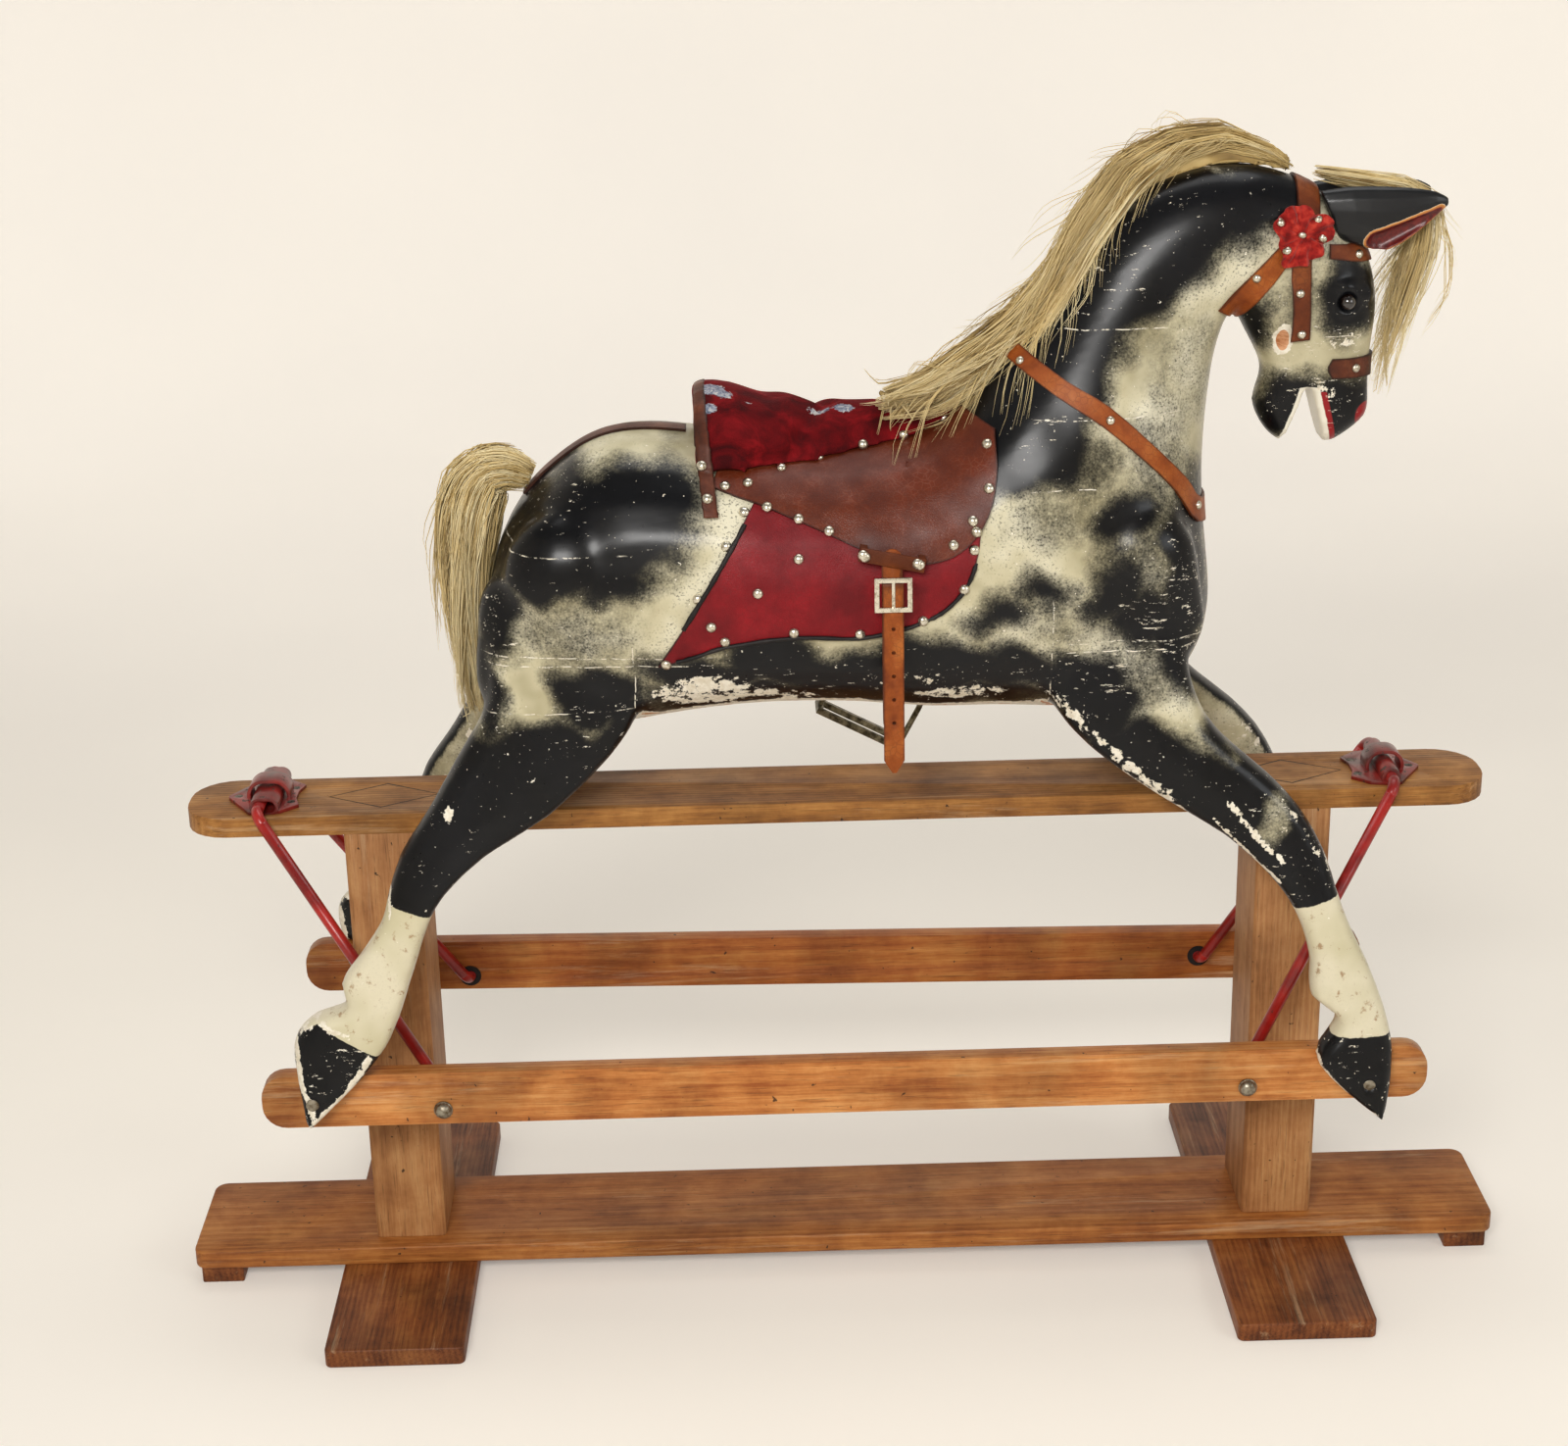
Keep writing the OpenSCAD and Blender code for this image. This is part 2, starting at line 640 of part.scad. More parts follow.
// ---------- hair ----------
// Room over a strap that lies on the horse, for hair that falls across it.
module over_strap(outline) {
  intersection() {
    horse_form(gap + strap_t + gap);
    slab(outline, -far, far);
  }
}
mane_sections = [
  [84, 935, 40, 952, 12, -12, 2],
  [128, 935, 78, 972, 22, -16, 2],
  [170, 965, 128, 1000, 32, -18, 2],
  [208, 1000, 172, 1032, 34, -16, 2],
  [238, 1036, 208, 1072, 32, -12, 2],
  [266, 1078, 243, 1122, 30, -8, 2],
  [300, 1108, 286, 1180, 28, -4, 2],
  [340, 1128, 334, 1205, 27, 0, 2],
  [384, 1134, 382, 1211, 25, 0, 2],
  [426, 1132, 424, 1195, 20, 0, 2],
  [448, 1132, 452, 1176, 14, 0, 2]
];
module mane() {
  color("wheat") difference() {
    loft(mane_sections, 2, 12);
    horse_form(gap);
    over_strap(breast_outline);
    over_strap(headpiece_outline);
    seat_shape(gap);
    slab(smooth_outline(flap_outline), -far, 0);
  }
}
forelock_sections = [
  [476, 1140, 477, 1168, 9, 0, 2],
  [510, 1132, 512, 1166, 11, 0, 2],
  [550, 1126, 558, 1158, 12, 0, 2],
  [574, 1108, 596, 1136, 13, 0, 2],
  [570, 1078, 606, 1090, 15, 0, 2],
  [560, 1040, 598, 1040, 15, 0, 2],
  [552, 1000, 584, 995, 14, 0, 2],
  [548, 965, 570, 958, 11, 0, 2],
  [546, 940, 556, 934, 6, 0, 2]
];
module forelock() {
  color("wheat") difference() {
    loft(forelock_sections, 2, 12);
    horse_form(gap);
    slab(headpiece_outline, -far, far);
    slab(browband_outline, -far, far);
  }
}
tail_sections = [
  [-284, 884, -290, 858, 11, 0, 2],
  [-300, 892, -307, 864, 13, 0, 2],
  [-320, 902, -323, 868, 18, 0, 2],
  [-346, 904, -338, 866, 22, 0, 2],
  [-369, 889, -346, 850, 25, 0, 2],
  [-381, 855, -354, 832, 27, 0, 2],
  [-388, 805, -357, 797, 28, 0, 2],
  [-386, 750, -359, 747, 26, 0, 2],
  [-379, 700, -359, 699, 20, 0, 2],
  [-371, 662, -361, 661, 12, 0, 2],
  [-365, 640, -361, 640, 5, 0, 2]
];
module tail() {
  color("wheat") difference() {
    loft(tail_sections, 2, 14);
    horse_form(gap);
    crupper_space();
  }
}

// ---------- saddle ----------
seat_sections = [
  [-136, 800, -136, 962, 88, 0, 2],
  [-122, 800, -122, 967, 92, 0, 2],
  [-95, 806, -95, 960, 92, 0, 2],
  [-63, 815, -63, 947, 84, 0, 2],
  [-11, 826, -11, 941, 68, 0, 2],
  [31, 838, 31, 938, 56, 0, 2],
  [71, 848, 71, 941, 50, 0, 2],
  [105, 860, 105, 950, 50, 0, 2],
  [130, 880, 130, 958, 44, 0, 2],
  [148, 900, 148, 962, 34, 0, 2]
];
module seat_shape(grow) { loft(seat_sections, 2, 24, grow); }
inner_edge_y = 20;               // leather under the seat ends this far from the middle
flap_outline = [
  [-118, 886], [-66, 867], [-36, 855], [-7, 843], [21, 831], [52, 820], [83, 815], [115, 823],
  [139, 845], [152, 872], [157, 903], [154, 940], [130, 945], [97, 935], [52, 920], [-11, 912],
  [-60, 906], [-112, 908]
];
cloth_outline = [
  [-78, 874], [-126, 795], [-176, 716], [-140, 727], [-106, 738], [-43, 746], [20, 744], [66, 753],
  [100, 767], [123, 790], [136, 822], [140, 860], [100, 890], [0, 890]
];
module seat_pad() {
  color("crimson") difference() {
    seat_shape(0);
    horse_form(gap);
    intersection() {
      horse_form(stack + gap);
      slab(smooth_outline(flap_outline), -far, far);
    }
  }
}
far_side = [inner_edge_y, far];
near_side = [-far, -inner_edge_y];
module saddle_flap(side) {
  color("sienna") intersection() {
    skin(stack - leather_t, stack);
    slab(smooth_outline(flap_outline), side[0], side[1]);
  }
}
module saddle_flap_far() { saddle_flap(far_side); }
module saddle_flap_near() { saddle_flap(near_side); }
module saddle_cloth(side) {
  color("brown") intersection() {
    skin(gap, gap + leather_t);
    slab(cloth_outline, side[0], side[1]);
  }
}
module saddle_cloth_far() { saddle_cloth(far_side); }
module saddle_cloth_near() { saddle_cloth(near_side); }

cantle_outline = [[-144, 1000], [-127, 1000], [-112, 864], [-128, 864]];
module cantle_strap() {
  color("saddlebrown") intersection() {
    difference() {
      union() {
        seat_shape(gap + strap_t);
        horse_form(stack + gap + strap_t);
      }
      seat_shape(gap);
      horse_form(stack + gap);
    }
    slab(cantle_outline, -far, far);
  }
}

// ---------- harness ----------
whole = [-far, far];
module harness(outline, side = whole, inner = gap) {
  color("chocolate") intersection() {
    skin(inner, inner + strap_t);
    slab(outline, side[0], side[1]);
  }
}
crupper_w = 22;
crupper_rear_x = -304;
crupper_front_x = -145;
crupper_low_z = 820;
module crupper_space() {
  w = crupper_w + 2 * gap;
  translate([crupper_rear_x - w, -w / 2, crupper_low_z]) cube([crupper_front_x - crupper_rear_x + w, w, 120]);
}
module crupper_strap() {
  color("saddlebrown") intersection() {
    skin(gap, gap + strap_t);
    translate([crupper_rear_x, -crupper_w / 2, crupper_low_z])
      cube([crupper_front_x - crupper_rear_x, crupper_w, 150]);
  }
}
breast_outline = [[160, 1024], [182, 1008], [225, 979], [265, 955], [311, 912], [343, 877], [362, 850], [400, 836],
                  [400, 812], [358, 829], [331, 868], [300, 901], [257, 938], [215, 965], [172, 994], [150, 1006]];
module breast_strap() { harness(breast_outline); }
headpiece_outline = [[452, 1200], [474, 1200], [469, 1112], [446, 1112]];
module headpiece() { harness(headpiece_outline); }
browband_outline = [[480, 1098], [545, 1090], [545, 1074], [480, 1084]];
module browband() {
  difference() {
    harness(browband_outline);
    both_sides() ear_shape(gap);
  }
}
noseband_outline = [[487, 984], [545, 984], [545, 962], [490, 965], [484, 974]];
module noseband() { harness(noseband_outline); }
throat_outline = [[431, 1098], [444, 1086], [398, 1020], [374, 1036]];
module throat_strap() { harness(throat_outline); }
cheek_outline = [[443, 1084], [461, 1084], [465, 1004], [447, 1007]];
module cheek_strap_far() { harness(cheek_outline, far_side, gap + strap_t + gap); }
module cheek_strap_near() { harness(cheek_outline, near_side, gap + strap_t + gap); }

rosette_place = [451, 47.5, 1107];
module rosette() {
  color("red") translate(rosette_place) rotate([-90, 0, 0])
    rotate_extrude($fn = 40) polygon([[0, 0], [20, 0], [22, 3], [17, 7], [10, 5], [5, 8], [0, 8]]);
}
module rosette_far() { rosette(); }
module rosette_near() { mirror([0, 1, 0]) rosette(); }

// ---------- stirrups ----------
loop_r = 5;
post_pin_r = 2.5;
back_y = hang_y;
mid_y = hang_y + stirrup_t + 2 * loop_r;
front_y = mid_y + stirrup_t + gap;
hanger_y = back_y + stirrup_t + 0.6;
hanger_foot_y = 137.8;
module stirrup_hanger() {
  color("saddlebrown") translate([hang_x, 0, hang_z]) {
    rotate([0, 12, 0]) difference() {
      translate([-32, hanger_foot_y, -7]) cube([64, hanger_y + 2.4 - hanger_foot_y, 14]);
      translate([-25, hanger_foot_y - 1, -20]) cube([50, hanger_y - hanger_foot_y + 1, 40]);
    }
    across(0, 0, hanger_foot_y, hanger_y + 1, post_pin_r);
  }
}
module stirrup_hanger_far() { stirrup_hanger(); }
module stirrup_hanger_near() { mirror([0, 1, 0]) stirrup_hanger(); }

// One turn of leather: a half ring about the X axis.
module half_ring(y, z, inner_r, up) {
  translate([0, y, z]) rotate([up ? 0 : 180, 0, 0]) rotate([90, 0, 90]) translate([0, 0, -stirrup_w / 2])
    rotate_extrude(angle = 180, $fn = 64) translate([inner_r, 0]) square([stirrup_t, stirrup_w]);
}
module leather_run(y, z0, z1) { translate([-stirrup_w / 2, y, z0]) cube([stirrup_w, stirrup_t, z1 - z0]); }
buckle_z = 800;
fold_z = buckle_z + 4;
tip_l = 178;
module stirrup_leather(loop_z) {
  color("chocolate") translate([hang_x, 0, 0]) difference() {
    union() {
      leather_run(back_y, loop_z, hang_z);
      translate([0, back_y, hang_z]) rotate([-90, 0, 0]) cylinder(r = stirrup_w / 2, h = stirrup_t, $fn = 48);
      half_ring(mid_y - loop_r, loop_z, loop_r, false);
      leather_run(mid_y, loop_z, fold_z);
      half_ring((mid_y + stirrup_t + front_y) / 2, fold_z, gap / 2, true);
      leather_run(front_y, fold_z - tip_l, fold_z);
      translate([0, front_y + stirrup_t, fold_z - tip_l]) rotate([90, 0, 0]) linear_extrude(stirrup_t)
        polygon([[-stirrup_w / 2, 0], [stirrup_w / 2, 0], [2, -13], [-2, -13]]);
    }
    translate([0, 0, hang_z]) across(0, 0, back_y - 1, back_y + stirrup_t + 1, post_pin_r + run_gap);
    for (i = [1 : 5]) across(0, buckle_z - 16 - 24 * i + 1, front_y - 0.1, front_y + stirrup_t + 1, 2);
  }
}
module stirrup_leather_far() { stirrup_leather(far_loop_z); }
module stirrup_leather_near() { mirror([0, 1, 0]) stirrup_leather(near_loop_z); }

buckle_w = 36;
buckle_h = 34;
buckle_t = 3;
buckle_bar = 4.5;
module buckle() {
  y = front_y + stirrup_t + gap;
  color("silver") translate([hang_x, y, buckle_z - 4]) {
    difference() {
      translate([-buckle_w / 2, 0, -buckle_h / 2]) cube([buckle_w, buckle_t, buckle_h]);
      translate([-buckle_w / 2 + buckle_bar, -1, -buckle_h / 2 + buckle_bar])
        cube([buckle_w - 2 * buckle_bar, buckle_t + 2, buckle_h - 2 * buckle_bar]);
    }
    translate([-1.5, 0.2, -buckle_h / 2 + 1]) cube([3, 2, buckle_h - 2]);
  }
}
module buckle_far() { buckle(); }
module buckle_near() { mirror([0, 1, 0]) buckle(); }

// Stirrup iron: an arch of wire and a tread of two bars, hung from the arch's rear shoulder.
stirrup_tilt = 28;
arch_big_r = (stirrup_span + stirrup_wire) / 2;
side_l = 44;
tread_half = 15;
module stirrup_iron_flat() {
  w = stirrup_wire / 2;
  rotate([90, 0, 0]) rotate_extrude(angle = 180, $fn = 96) translate([arch_big_r, 0]) circle(r = w, $fn = 24);
  for (s = [-1, 1]) translate([s * arch_big_r, 0, -side_l]) cylinder(r = w, h = side_l, $fn = 24);
  difference() {
    translate([-arch_big_r - w, -tread_half - w, -side_l - w])
      cube([2 * (arch_big_r + w), 2 * (tread_half + w), stirrup_wire]);
    translate([-arch_big_r + w, -tread_half + w, -side_l - w - 1])
      cube([2 * (arch_big_r - w), 2 * (tread_half - w), stirrup_wire + 2]);
  }
}
module stirrup_iron_far() {
  shoulder = 90 + stirrup_tilt;
  hang = [arch_big_r * cos(shoulder), arch_big_r * sin(shoulder)];
  color("gray") translate([hang_x, mid_y - loop_r, far_loop_z - 0.4]) rotate([0, stirrup_tilt, 0])
    translate([-hang[0], 0, -hang[1]]) stirrup_iron_flat();
}

base_board();
cross_foot_front();
cross_foot_rear();
end_cleats();
post_front();
post_rear();
top_rail();
diamond_patches();
bracket_front();
bracket_rear();
bracket_screws();
swing_iron_front();
axle_caps_front();
swing_iron_rear();
axle_caps_rear();
hoof_rail_near();
hoof_rail_far();
hoof_bolts();
leg_hind_near();
leg_hind_far();
leg_fore_near();
leg_fore_far();
belly_block();
body_block();
back_block();
neck_block();
crest_block();
head();
eyes();
ear_near();
ear_far();
mane();
forelock();
tail();
seat_pad();
saddle_flap_near();
saddle_flap_far();
saddle_cloth_near();
saddle_cloth_far();
cantle_strap();
crupper_strap();
breast_strap();
headpiece();
browband();
noseband();
throat_strap();
cheek_strap_near();
cheek_strap_far();
rosette_near();
rosette_far();
stirrup_hanger_near();
stirrup_hanger_far();
stirrup_leather_near();
stirrup_leather_far();
buckle_near();
buckle_far();
stirrup_iron_far();
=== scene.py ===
# %% [markdown]
# # A painted rocking horse on its swing stand
# The horse is carved from glued blocks of pine, covered with gesso, painted and varnished, and dressed
# with leather tack, a velvet seat and real hair. Two bent irons hang it from a post and rail stand.
# The solids come from the CAD frame, and this file gives them their finish. It starts by loading that
# frame.

import json
import math

import bmesh
import bpy
import numpy as np
from mathutils import Matrix, Vector
from mathutils.bvhtree import BVHTree


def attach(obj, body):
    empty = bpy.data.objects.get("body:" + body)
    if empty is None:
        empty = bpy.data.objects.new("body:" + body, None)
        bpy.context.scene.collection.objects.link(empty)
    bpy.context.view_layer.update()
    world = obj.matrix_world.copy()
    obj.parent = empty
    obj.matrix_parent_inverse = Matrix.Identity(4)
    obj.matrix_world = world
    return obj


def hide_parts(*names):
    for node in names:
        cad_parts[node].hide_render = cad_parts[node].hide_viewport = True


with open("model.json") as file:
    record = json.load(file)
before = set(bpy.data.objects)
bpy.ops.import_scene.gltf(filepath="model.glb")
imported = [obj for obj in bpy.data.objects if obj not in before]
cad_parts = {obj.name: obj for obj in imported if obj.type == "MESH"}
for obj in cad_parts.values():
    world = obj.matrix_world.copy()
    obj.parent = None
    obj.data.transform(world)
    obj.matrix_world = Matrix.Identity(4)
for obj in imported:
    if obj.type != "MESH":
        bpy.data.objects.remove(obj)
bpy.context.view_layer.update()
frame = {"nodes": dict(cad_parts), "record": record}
nodes = frame["nodes"]
MM = 0.001

# %% [markdown]
# ## Camera
# A camera is a position, three axes and a lens. The view looks down on the horse's near side from a
# little behind its middle, and leans by about a degree, as a camera held by hand does. Writing the axes
# as a matrix keeps the lean apart from the turn and the tilt.

# %% Place the camera
TURN_DEG, TILT_DEG, LEAN_DEG = 0.68, 20.59, -1.28
CAMERA_PLACE = (-0.0840, -2.6102, 1.5873)
LENS_MM, SENSOR_MM = 61.87, 36.0
scene = bpy.context.scene
turn, tilt, lean = math.radians(TURN_DEG), math.radians(TILT_DEG), math.radians(LEAN_DEG)
forward = Vector((math.sin(turn) * math.cos(tilt), math.cos(turn) * math.cos(tilt), -math.sin(tilt)))
level_right = Vector((math.cos(turn), -math.sin(turn), 0))
level_up = level_right.cross(forward)
right = level_right * math.cos(lean) + level_up * math.sin(lean)
up = level_up * math.cos(lean) - level_right * math.sin(lean)
camera = bpy.data.objects.new("camera", bpy.data.cameras.new("camera"))
scene.collection.objects.link(camera)
camera.data.lens = LENS_MM
camera.data.sensor_width = SENSOR_MM
axes = Matrix((right, up, -forward)).transposed().to_4x4()
camera.matrix_world = Matrix.Translation(CAMERA_PLACE) @ axes
scene.camera = camera
print("camera height in m:", round(camera.location.z, 2))

# %% [markdown]
# ## Helpers for meshes
# Every piece is either a copy of a solid or a new shape on top of one. A copy starts as loose
# triangles, so they are merged, and flat faces are dissolved into one face each where a bevel has to
# run along clean edges. Modifiers are applied at once, so that the next step works on real points.

# %% Mesh helpers
WELD_MM = 0.01  # points nearer than this are one point
FLAT_DEG = 0.5  # faces that turn by less than this are one face
EASE_LEVELS = 10  # steps of the weights that hold back the smoothing


def new_piece(name, mesh, body, slot, *replaced):
    """Adds a piece that rides on a body and stands in for the replaced nodes. Its slot is not used."""
    piece = bpy.data.objects.new(name, mesh)
    scene.collection.objects.link(piece)
    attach(piece, body)
    if replaced:
        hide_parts(*replaced)
    return piece


def mesh_from(bm, name):
    mesh = bpy.data.meshes.new(name)
    bm.to_mesh(mesh)
    bm.free()
    return mesh


def merged_copy(*names, flat=False):
    """One welded mesh from the solids of some nodes, with its flat faces dissolved where flat is set."""
    bm = bmesh.new()
    for name in names:
        bm.from_mesh(nodes[name].data)
    bmesh.ops.remove_doubles(bm, verts=bm.verts, dist=WELD_MM * MM)
    if flat:
        bmesh.ops.dissolve_limit(bm, angle_limit=math.radians(FLAT_DEG), verts=bm.verts,
                                   edges=bm.edges)
    bm.normal_update()
    mesh = mesh_from(bm, names[0] + "_mesh")
    mesh.materials.clear()
    return mesh


def apply_modifiers(piece):
    depsgraph = bpy.context.evaluated_depsgraph_get()
    mesh = bpy.data.meshes.new_from_object(piece.evaluated_get(depsgraph))
    piece.modifiers.clear()
    piece.data = mesh


def shade(piece, sharp_above=180.0):
    piece.data.polygons.foreach_set("use_smooth", [True] * len(piece.data.polygons))
    if sharp_above < 180.0:
        piece.data.set_sharp_from_angle(angle=math.radians(sharp_above))


def points_of(mesh, what="co"):
    flat = np.zeros(len(mesh.vertices) * 3, np.float32)
    mesh.vertices.foreach_get(what, flat)
    return flat.reshape(-1, 3).astype(float)


def move_points(mesh, places):
    mesh.vertices.foreach_set("co", np.asarray(places, np.float32).ravel())
    mesh.update()


def remesh(piece, voxel):
    change = piece.modifiers.new("Remesh", "REMESH")
    change.mode = "VOXEL"
    change.voxel_size = voxel
    apply_modifiers(piece)


def smooth(piece, times, weight=None):
    ease = piece.modifiers.new("Smooth", "SMOOTH")
    ease.factor = 0.5
    ease.iterations = times
    if weight is not None:
        group = piece.vertex_groups.new(name="ease")
        for level in range(1, EASE_LEVELS + 1):
            chosen = np.nonzero(np.round(weight * EASE_LEVELS) == level)[0]
            group.add([int(i) for i in chosen], level / EASE_LEVELS, "REPLACE")
        ease.vertex_group = "ease"
    apply_modifiers(piece)
    piece.vertex_groups.clear()


def store(mesh, name, values):
    layer = mesh.attributes.get(name) or mesh.attributes.new(name, "FLOAT", "POINT")
    layer.data.foreach_set("value", np.asarray(values, np.float32))


def ramp(values, start, end):
    """Rises smoothly from 0 at start to 1 at end."""
    t = np.clip((values - start) / (end - start), 0.0, 1.0)
    return t * t * (3 - 2 * t)


print("mesh helpers ready")

# %% [markdown]
# ## Helpers for materials
# Colours are written as the hex values that a screen shows, and one function turns them to the linear
# values that the shader counts in. One more function adds a shader node with its settings, its inputs
# and its links, so that a material reads as a list of what it is made of.

# %% Material helpers


def paint(code):
    """Linear colour from a hex value, by the curve that sRGB screens use."""
    parts = [int(code[i:i + 2], 16) / 255 for i in (0, 2, 4)]
    return tuple(c / 12.92 if c <= 0.04045 else ((c + 0.055) / 1.055) ** 2.4 for c in parts) + (1.0,)


def grey(value):
    return (value, value, value, 1.0)


def add(tree, kind, inputs=None, stops=None, **settings):
    """Adds a node of a kind, named without its prefix. Inputs are set, or linked if they are sockets."""
    node = tree.nodes.new("ShaderNode" + kind)
    for key, value in settings.items():
        setattr(node, key, value)
    if stops:
        elements = node.color_ramp.elements
        while len(elements) < len(stops):
            elements.new(0.5)
        for element, (place, colour) in zip(elements, stops):
            element.position = place
            element.color = colour
    for key, value in (inputs or {}).items():
        if isinstance(value, bpy.types.NodeSocket):
            tree.links.new(value, node.inputs[key])
        else:
            node.inputs[key].default_value = value
    return node


def new_material(name, **constants):
    material = bpy.data.materials.new(name)
    material.use_nodes = True
    shader = material.node_tree.nodes["Principled BSDF"]
    for key, value in constants.items():
        shader.inputs[key.replace("_", " ")].default_value = value
    return material, material.node_tree, shader


def give(material, *pieces):
    for piece in pieces:
        target = nodes[piece] if isinstance(piece, str) else piece
        target.data.materials.clear()
        target.data.materials.append(material)


print("material helpers ready")

# %% [markdown]
# ## Floor and light
# The floor and the backdrop are one pale round studio wall, with a wide bend at its foot, so no corner
# shows behind the object from any side. It is a disc whose rim is raised and then rounded. The light is
# that of one big soft lamp beside the camera, helped by two weak ones and a dim world: dark varnish then
# stays dark, and shines only where it turns to the lamp. Rays from the camera see the wall a little
# brighter than it is lit, most of all behind the object, which lifts the background and leaves the
# shadows on the floor.

# %% Floor, backdrop and lamps
WALL_RADIUS, WALL_HEIGHT, WALL_BEND = 4.6, 5.0, 1.2  # in metres
LIFT_START, LIFT_END = 0.6, 3.6  # metres behind the object's middle
LIFT_FLOOR, LIFT_WALL = 0.22, 0.45  # glow before the start and past the end
WORLD_STRENGTH = 0.32
LAMPS = [  # name, place and aim in metres, width, height, watts, colour
    ("key_lamp", (-0.7, -3.3, 2.5), (0.05, 0.0, 0.6), 1.3, 0.9, 92.0, (1.0, 0.985, 0.965)),
    ("fill_lamp", (2.6, -2.2, 1.9), (0.1, 0.0, 0.6), 1.2, 1.2, 18.0, (0.92, 0.96, 1.0)),
    ("top_lamp", (0.2, 0.6, 3.6), (0.0, 0.1, 0.5), 2.4, 1.4, 30.0, (1.0, 1.0, 1.0))]


def studio_ring(radius, height, bend):
    bm = bmesh.new()
    bmesh.ops.create_circle(bm, cap_ends=True, segments=96, radius=radius)
    rim = list(bm.edges)
    risen = bmesh.ops.extrude_edge_only(bm, edges=rim)["geom"]
    corners = [v for v in risen if isinstance(v, bmesh.types.BMVert)]
    bmesh.ops.translate(bm, verts=corners, vec=(0, 0, height))
    bmesh.ops.bevel(bm, geom=rim, offset=bend, offset_type="OFFSET", segments=16, profile=0.5,
                    affect="EDGES", material=-1)
    bm.normal_update()
    return mesh_from(bm, "studio_ring_mesh")


def wall_finish():
    material, tree, shader = new_material("studio_wall_matt_paint", Roughness=0.9)
    place = add(tree, "TexCoord").outputs["Object"]
    cloud = add(tree, "TexNoise", {"Vector": place, "Scale": 0.8, "Detail": 2.0}).outputs["Fac"]
    tone = add(tree, "ValToRGB", {"Fac": cloud}, [(0.35, paint("E0DAD0")), (0.65, paint("E9E3D8"))])
    tree.links.new(tone.outputs["Color"], shader.inputs["Base Color"])
    rays = add(tree, "LightPath").outputs
    seen = add(tree, "Math", {0: rays["Is Camera Ray"], 1: rays["Is Glossy Ray"]}, operation="MAXIMUM")
    seen = add(tree, "Math", {0: seen.outputs[0], 1: rays["Is Transmission Ray"]}, operation="MAXIMUM")
    depth = add(tree, "SeparateXYZ", {0: place}).outputs["Y"]
    behind = add(tree, "MapRange", {"Value": depth, "From Min": LIFT_START, "From Max": LIFT_END,
                                    "To Min": LIFT_FLOOR, "To Max": LIFT_WALL},
                 interpolation_type="SMOOTHSTEP").outputs[0]
    lift = add(tree, "Math", {0: seen.outputs[0], 1: behind}, operation="MULTIPLY")
    shader.inputs["Emission Color"].default_value = paint("FFFAF4")
    tree.links.new(lift.outputs[0], shader.inputs["Emission Strength"])
    return material


wall = bpy.data.objects.new("studio_ring", studio_ring(WALL_RADIUS, WALL_HEIGHT, WALL_BEND))
scene.collection.objects.link(wall)
shade(wall)
give(wall_finish(), wall)


def soft_lamp(name, place, aim, width, height, watts, colour):
    data = bpy.data.lights.new(name, "AREA")
    data.shape = "RECTANGLE"
    data.size, data.size_y = width, height
    data.energy, data.color = watts, colour
    lamp = bpy.data.objects.new(name, data)
    scene.collection.objects.link(lamp)
    lamp.location = place
    lamp.rotation_euler = (Vector(aim) - Vector(place)).to_track_quat("-Z", "Y").to_euler()


for lamp_facts in LAMPS:
    soft_lamp(*lamp_facts)
world = bpy.data.worlds.new("studio_world")
world.use_nodes = True
scene.world = world
background = world.node_tree.nodes["Background"]
background.inputs["Color"].default_value = paint("F4F1EA")
background.inputs["Strength"].default_value = WORLD_STRENGTH
scene.view_settings.view_transform = "Standard"

# %% [markdown]
# ## The stand's wood
# The stand is plain sawn beech, stained and oiled, then knocked about for decades. Beech is fine and even:
# faint rings, short dark flecks along the board, and the blotches where it took the stain unevenly. The
# rings are made as the tree makes them, round a pith line that runs beside the board, but they are kept
# weak. Noises pulled out along the board give the fibres and the flecks, rounder ones the blotches and
# the grime of hands and floors. Rubbed places are paler, and on the hoof rails the ends are darker.

# %% Wood material
# A pattern is pulled out twenty times along the board, and rolled about that axis, which keeps its
# noise from running flat with the board's faces.
ALONG = {"X": (0.05, 1.0, 1.0), "Y": (1.0, 0.05, 1.0), "Z": (1.0, 1.0, 0.05)}
ROLLED = {"X": (0.6, 0.0, 0.0), "Y": (0.0, 0.6, 0.0), "Z": (0.0, 0.0, 0.6)}
WAVE_MM = 314.0  # a wave texture of scale 1 repeats after this length
RING_MM = 6.0  # from one growth ring to the next
DIRTY_END_MM = 55  # length of a board's end that darkens


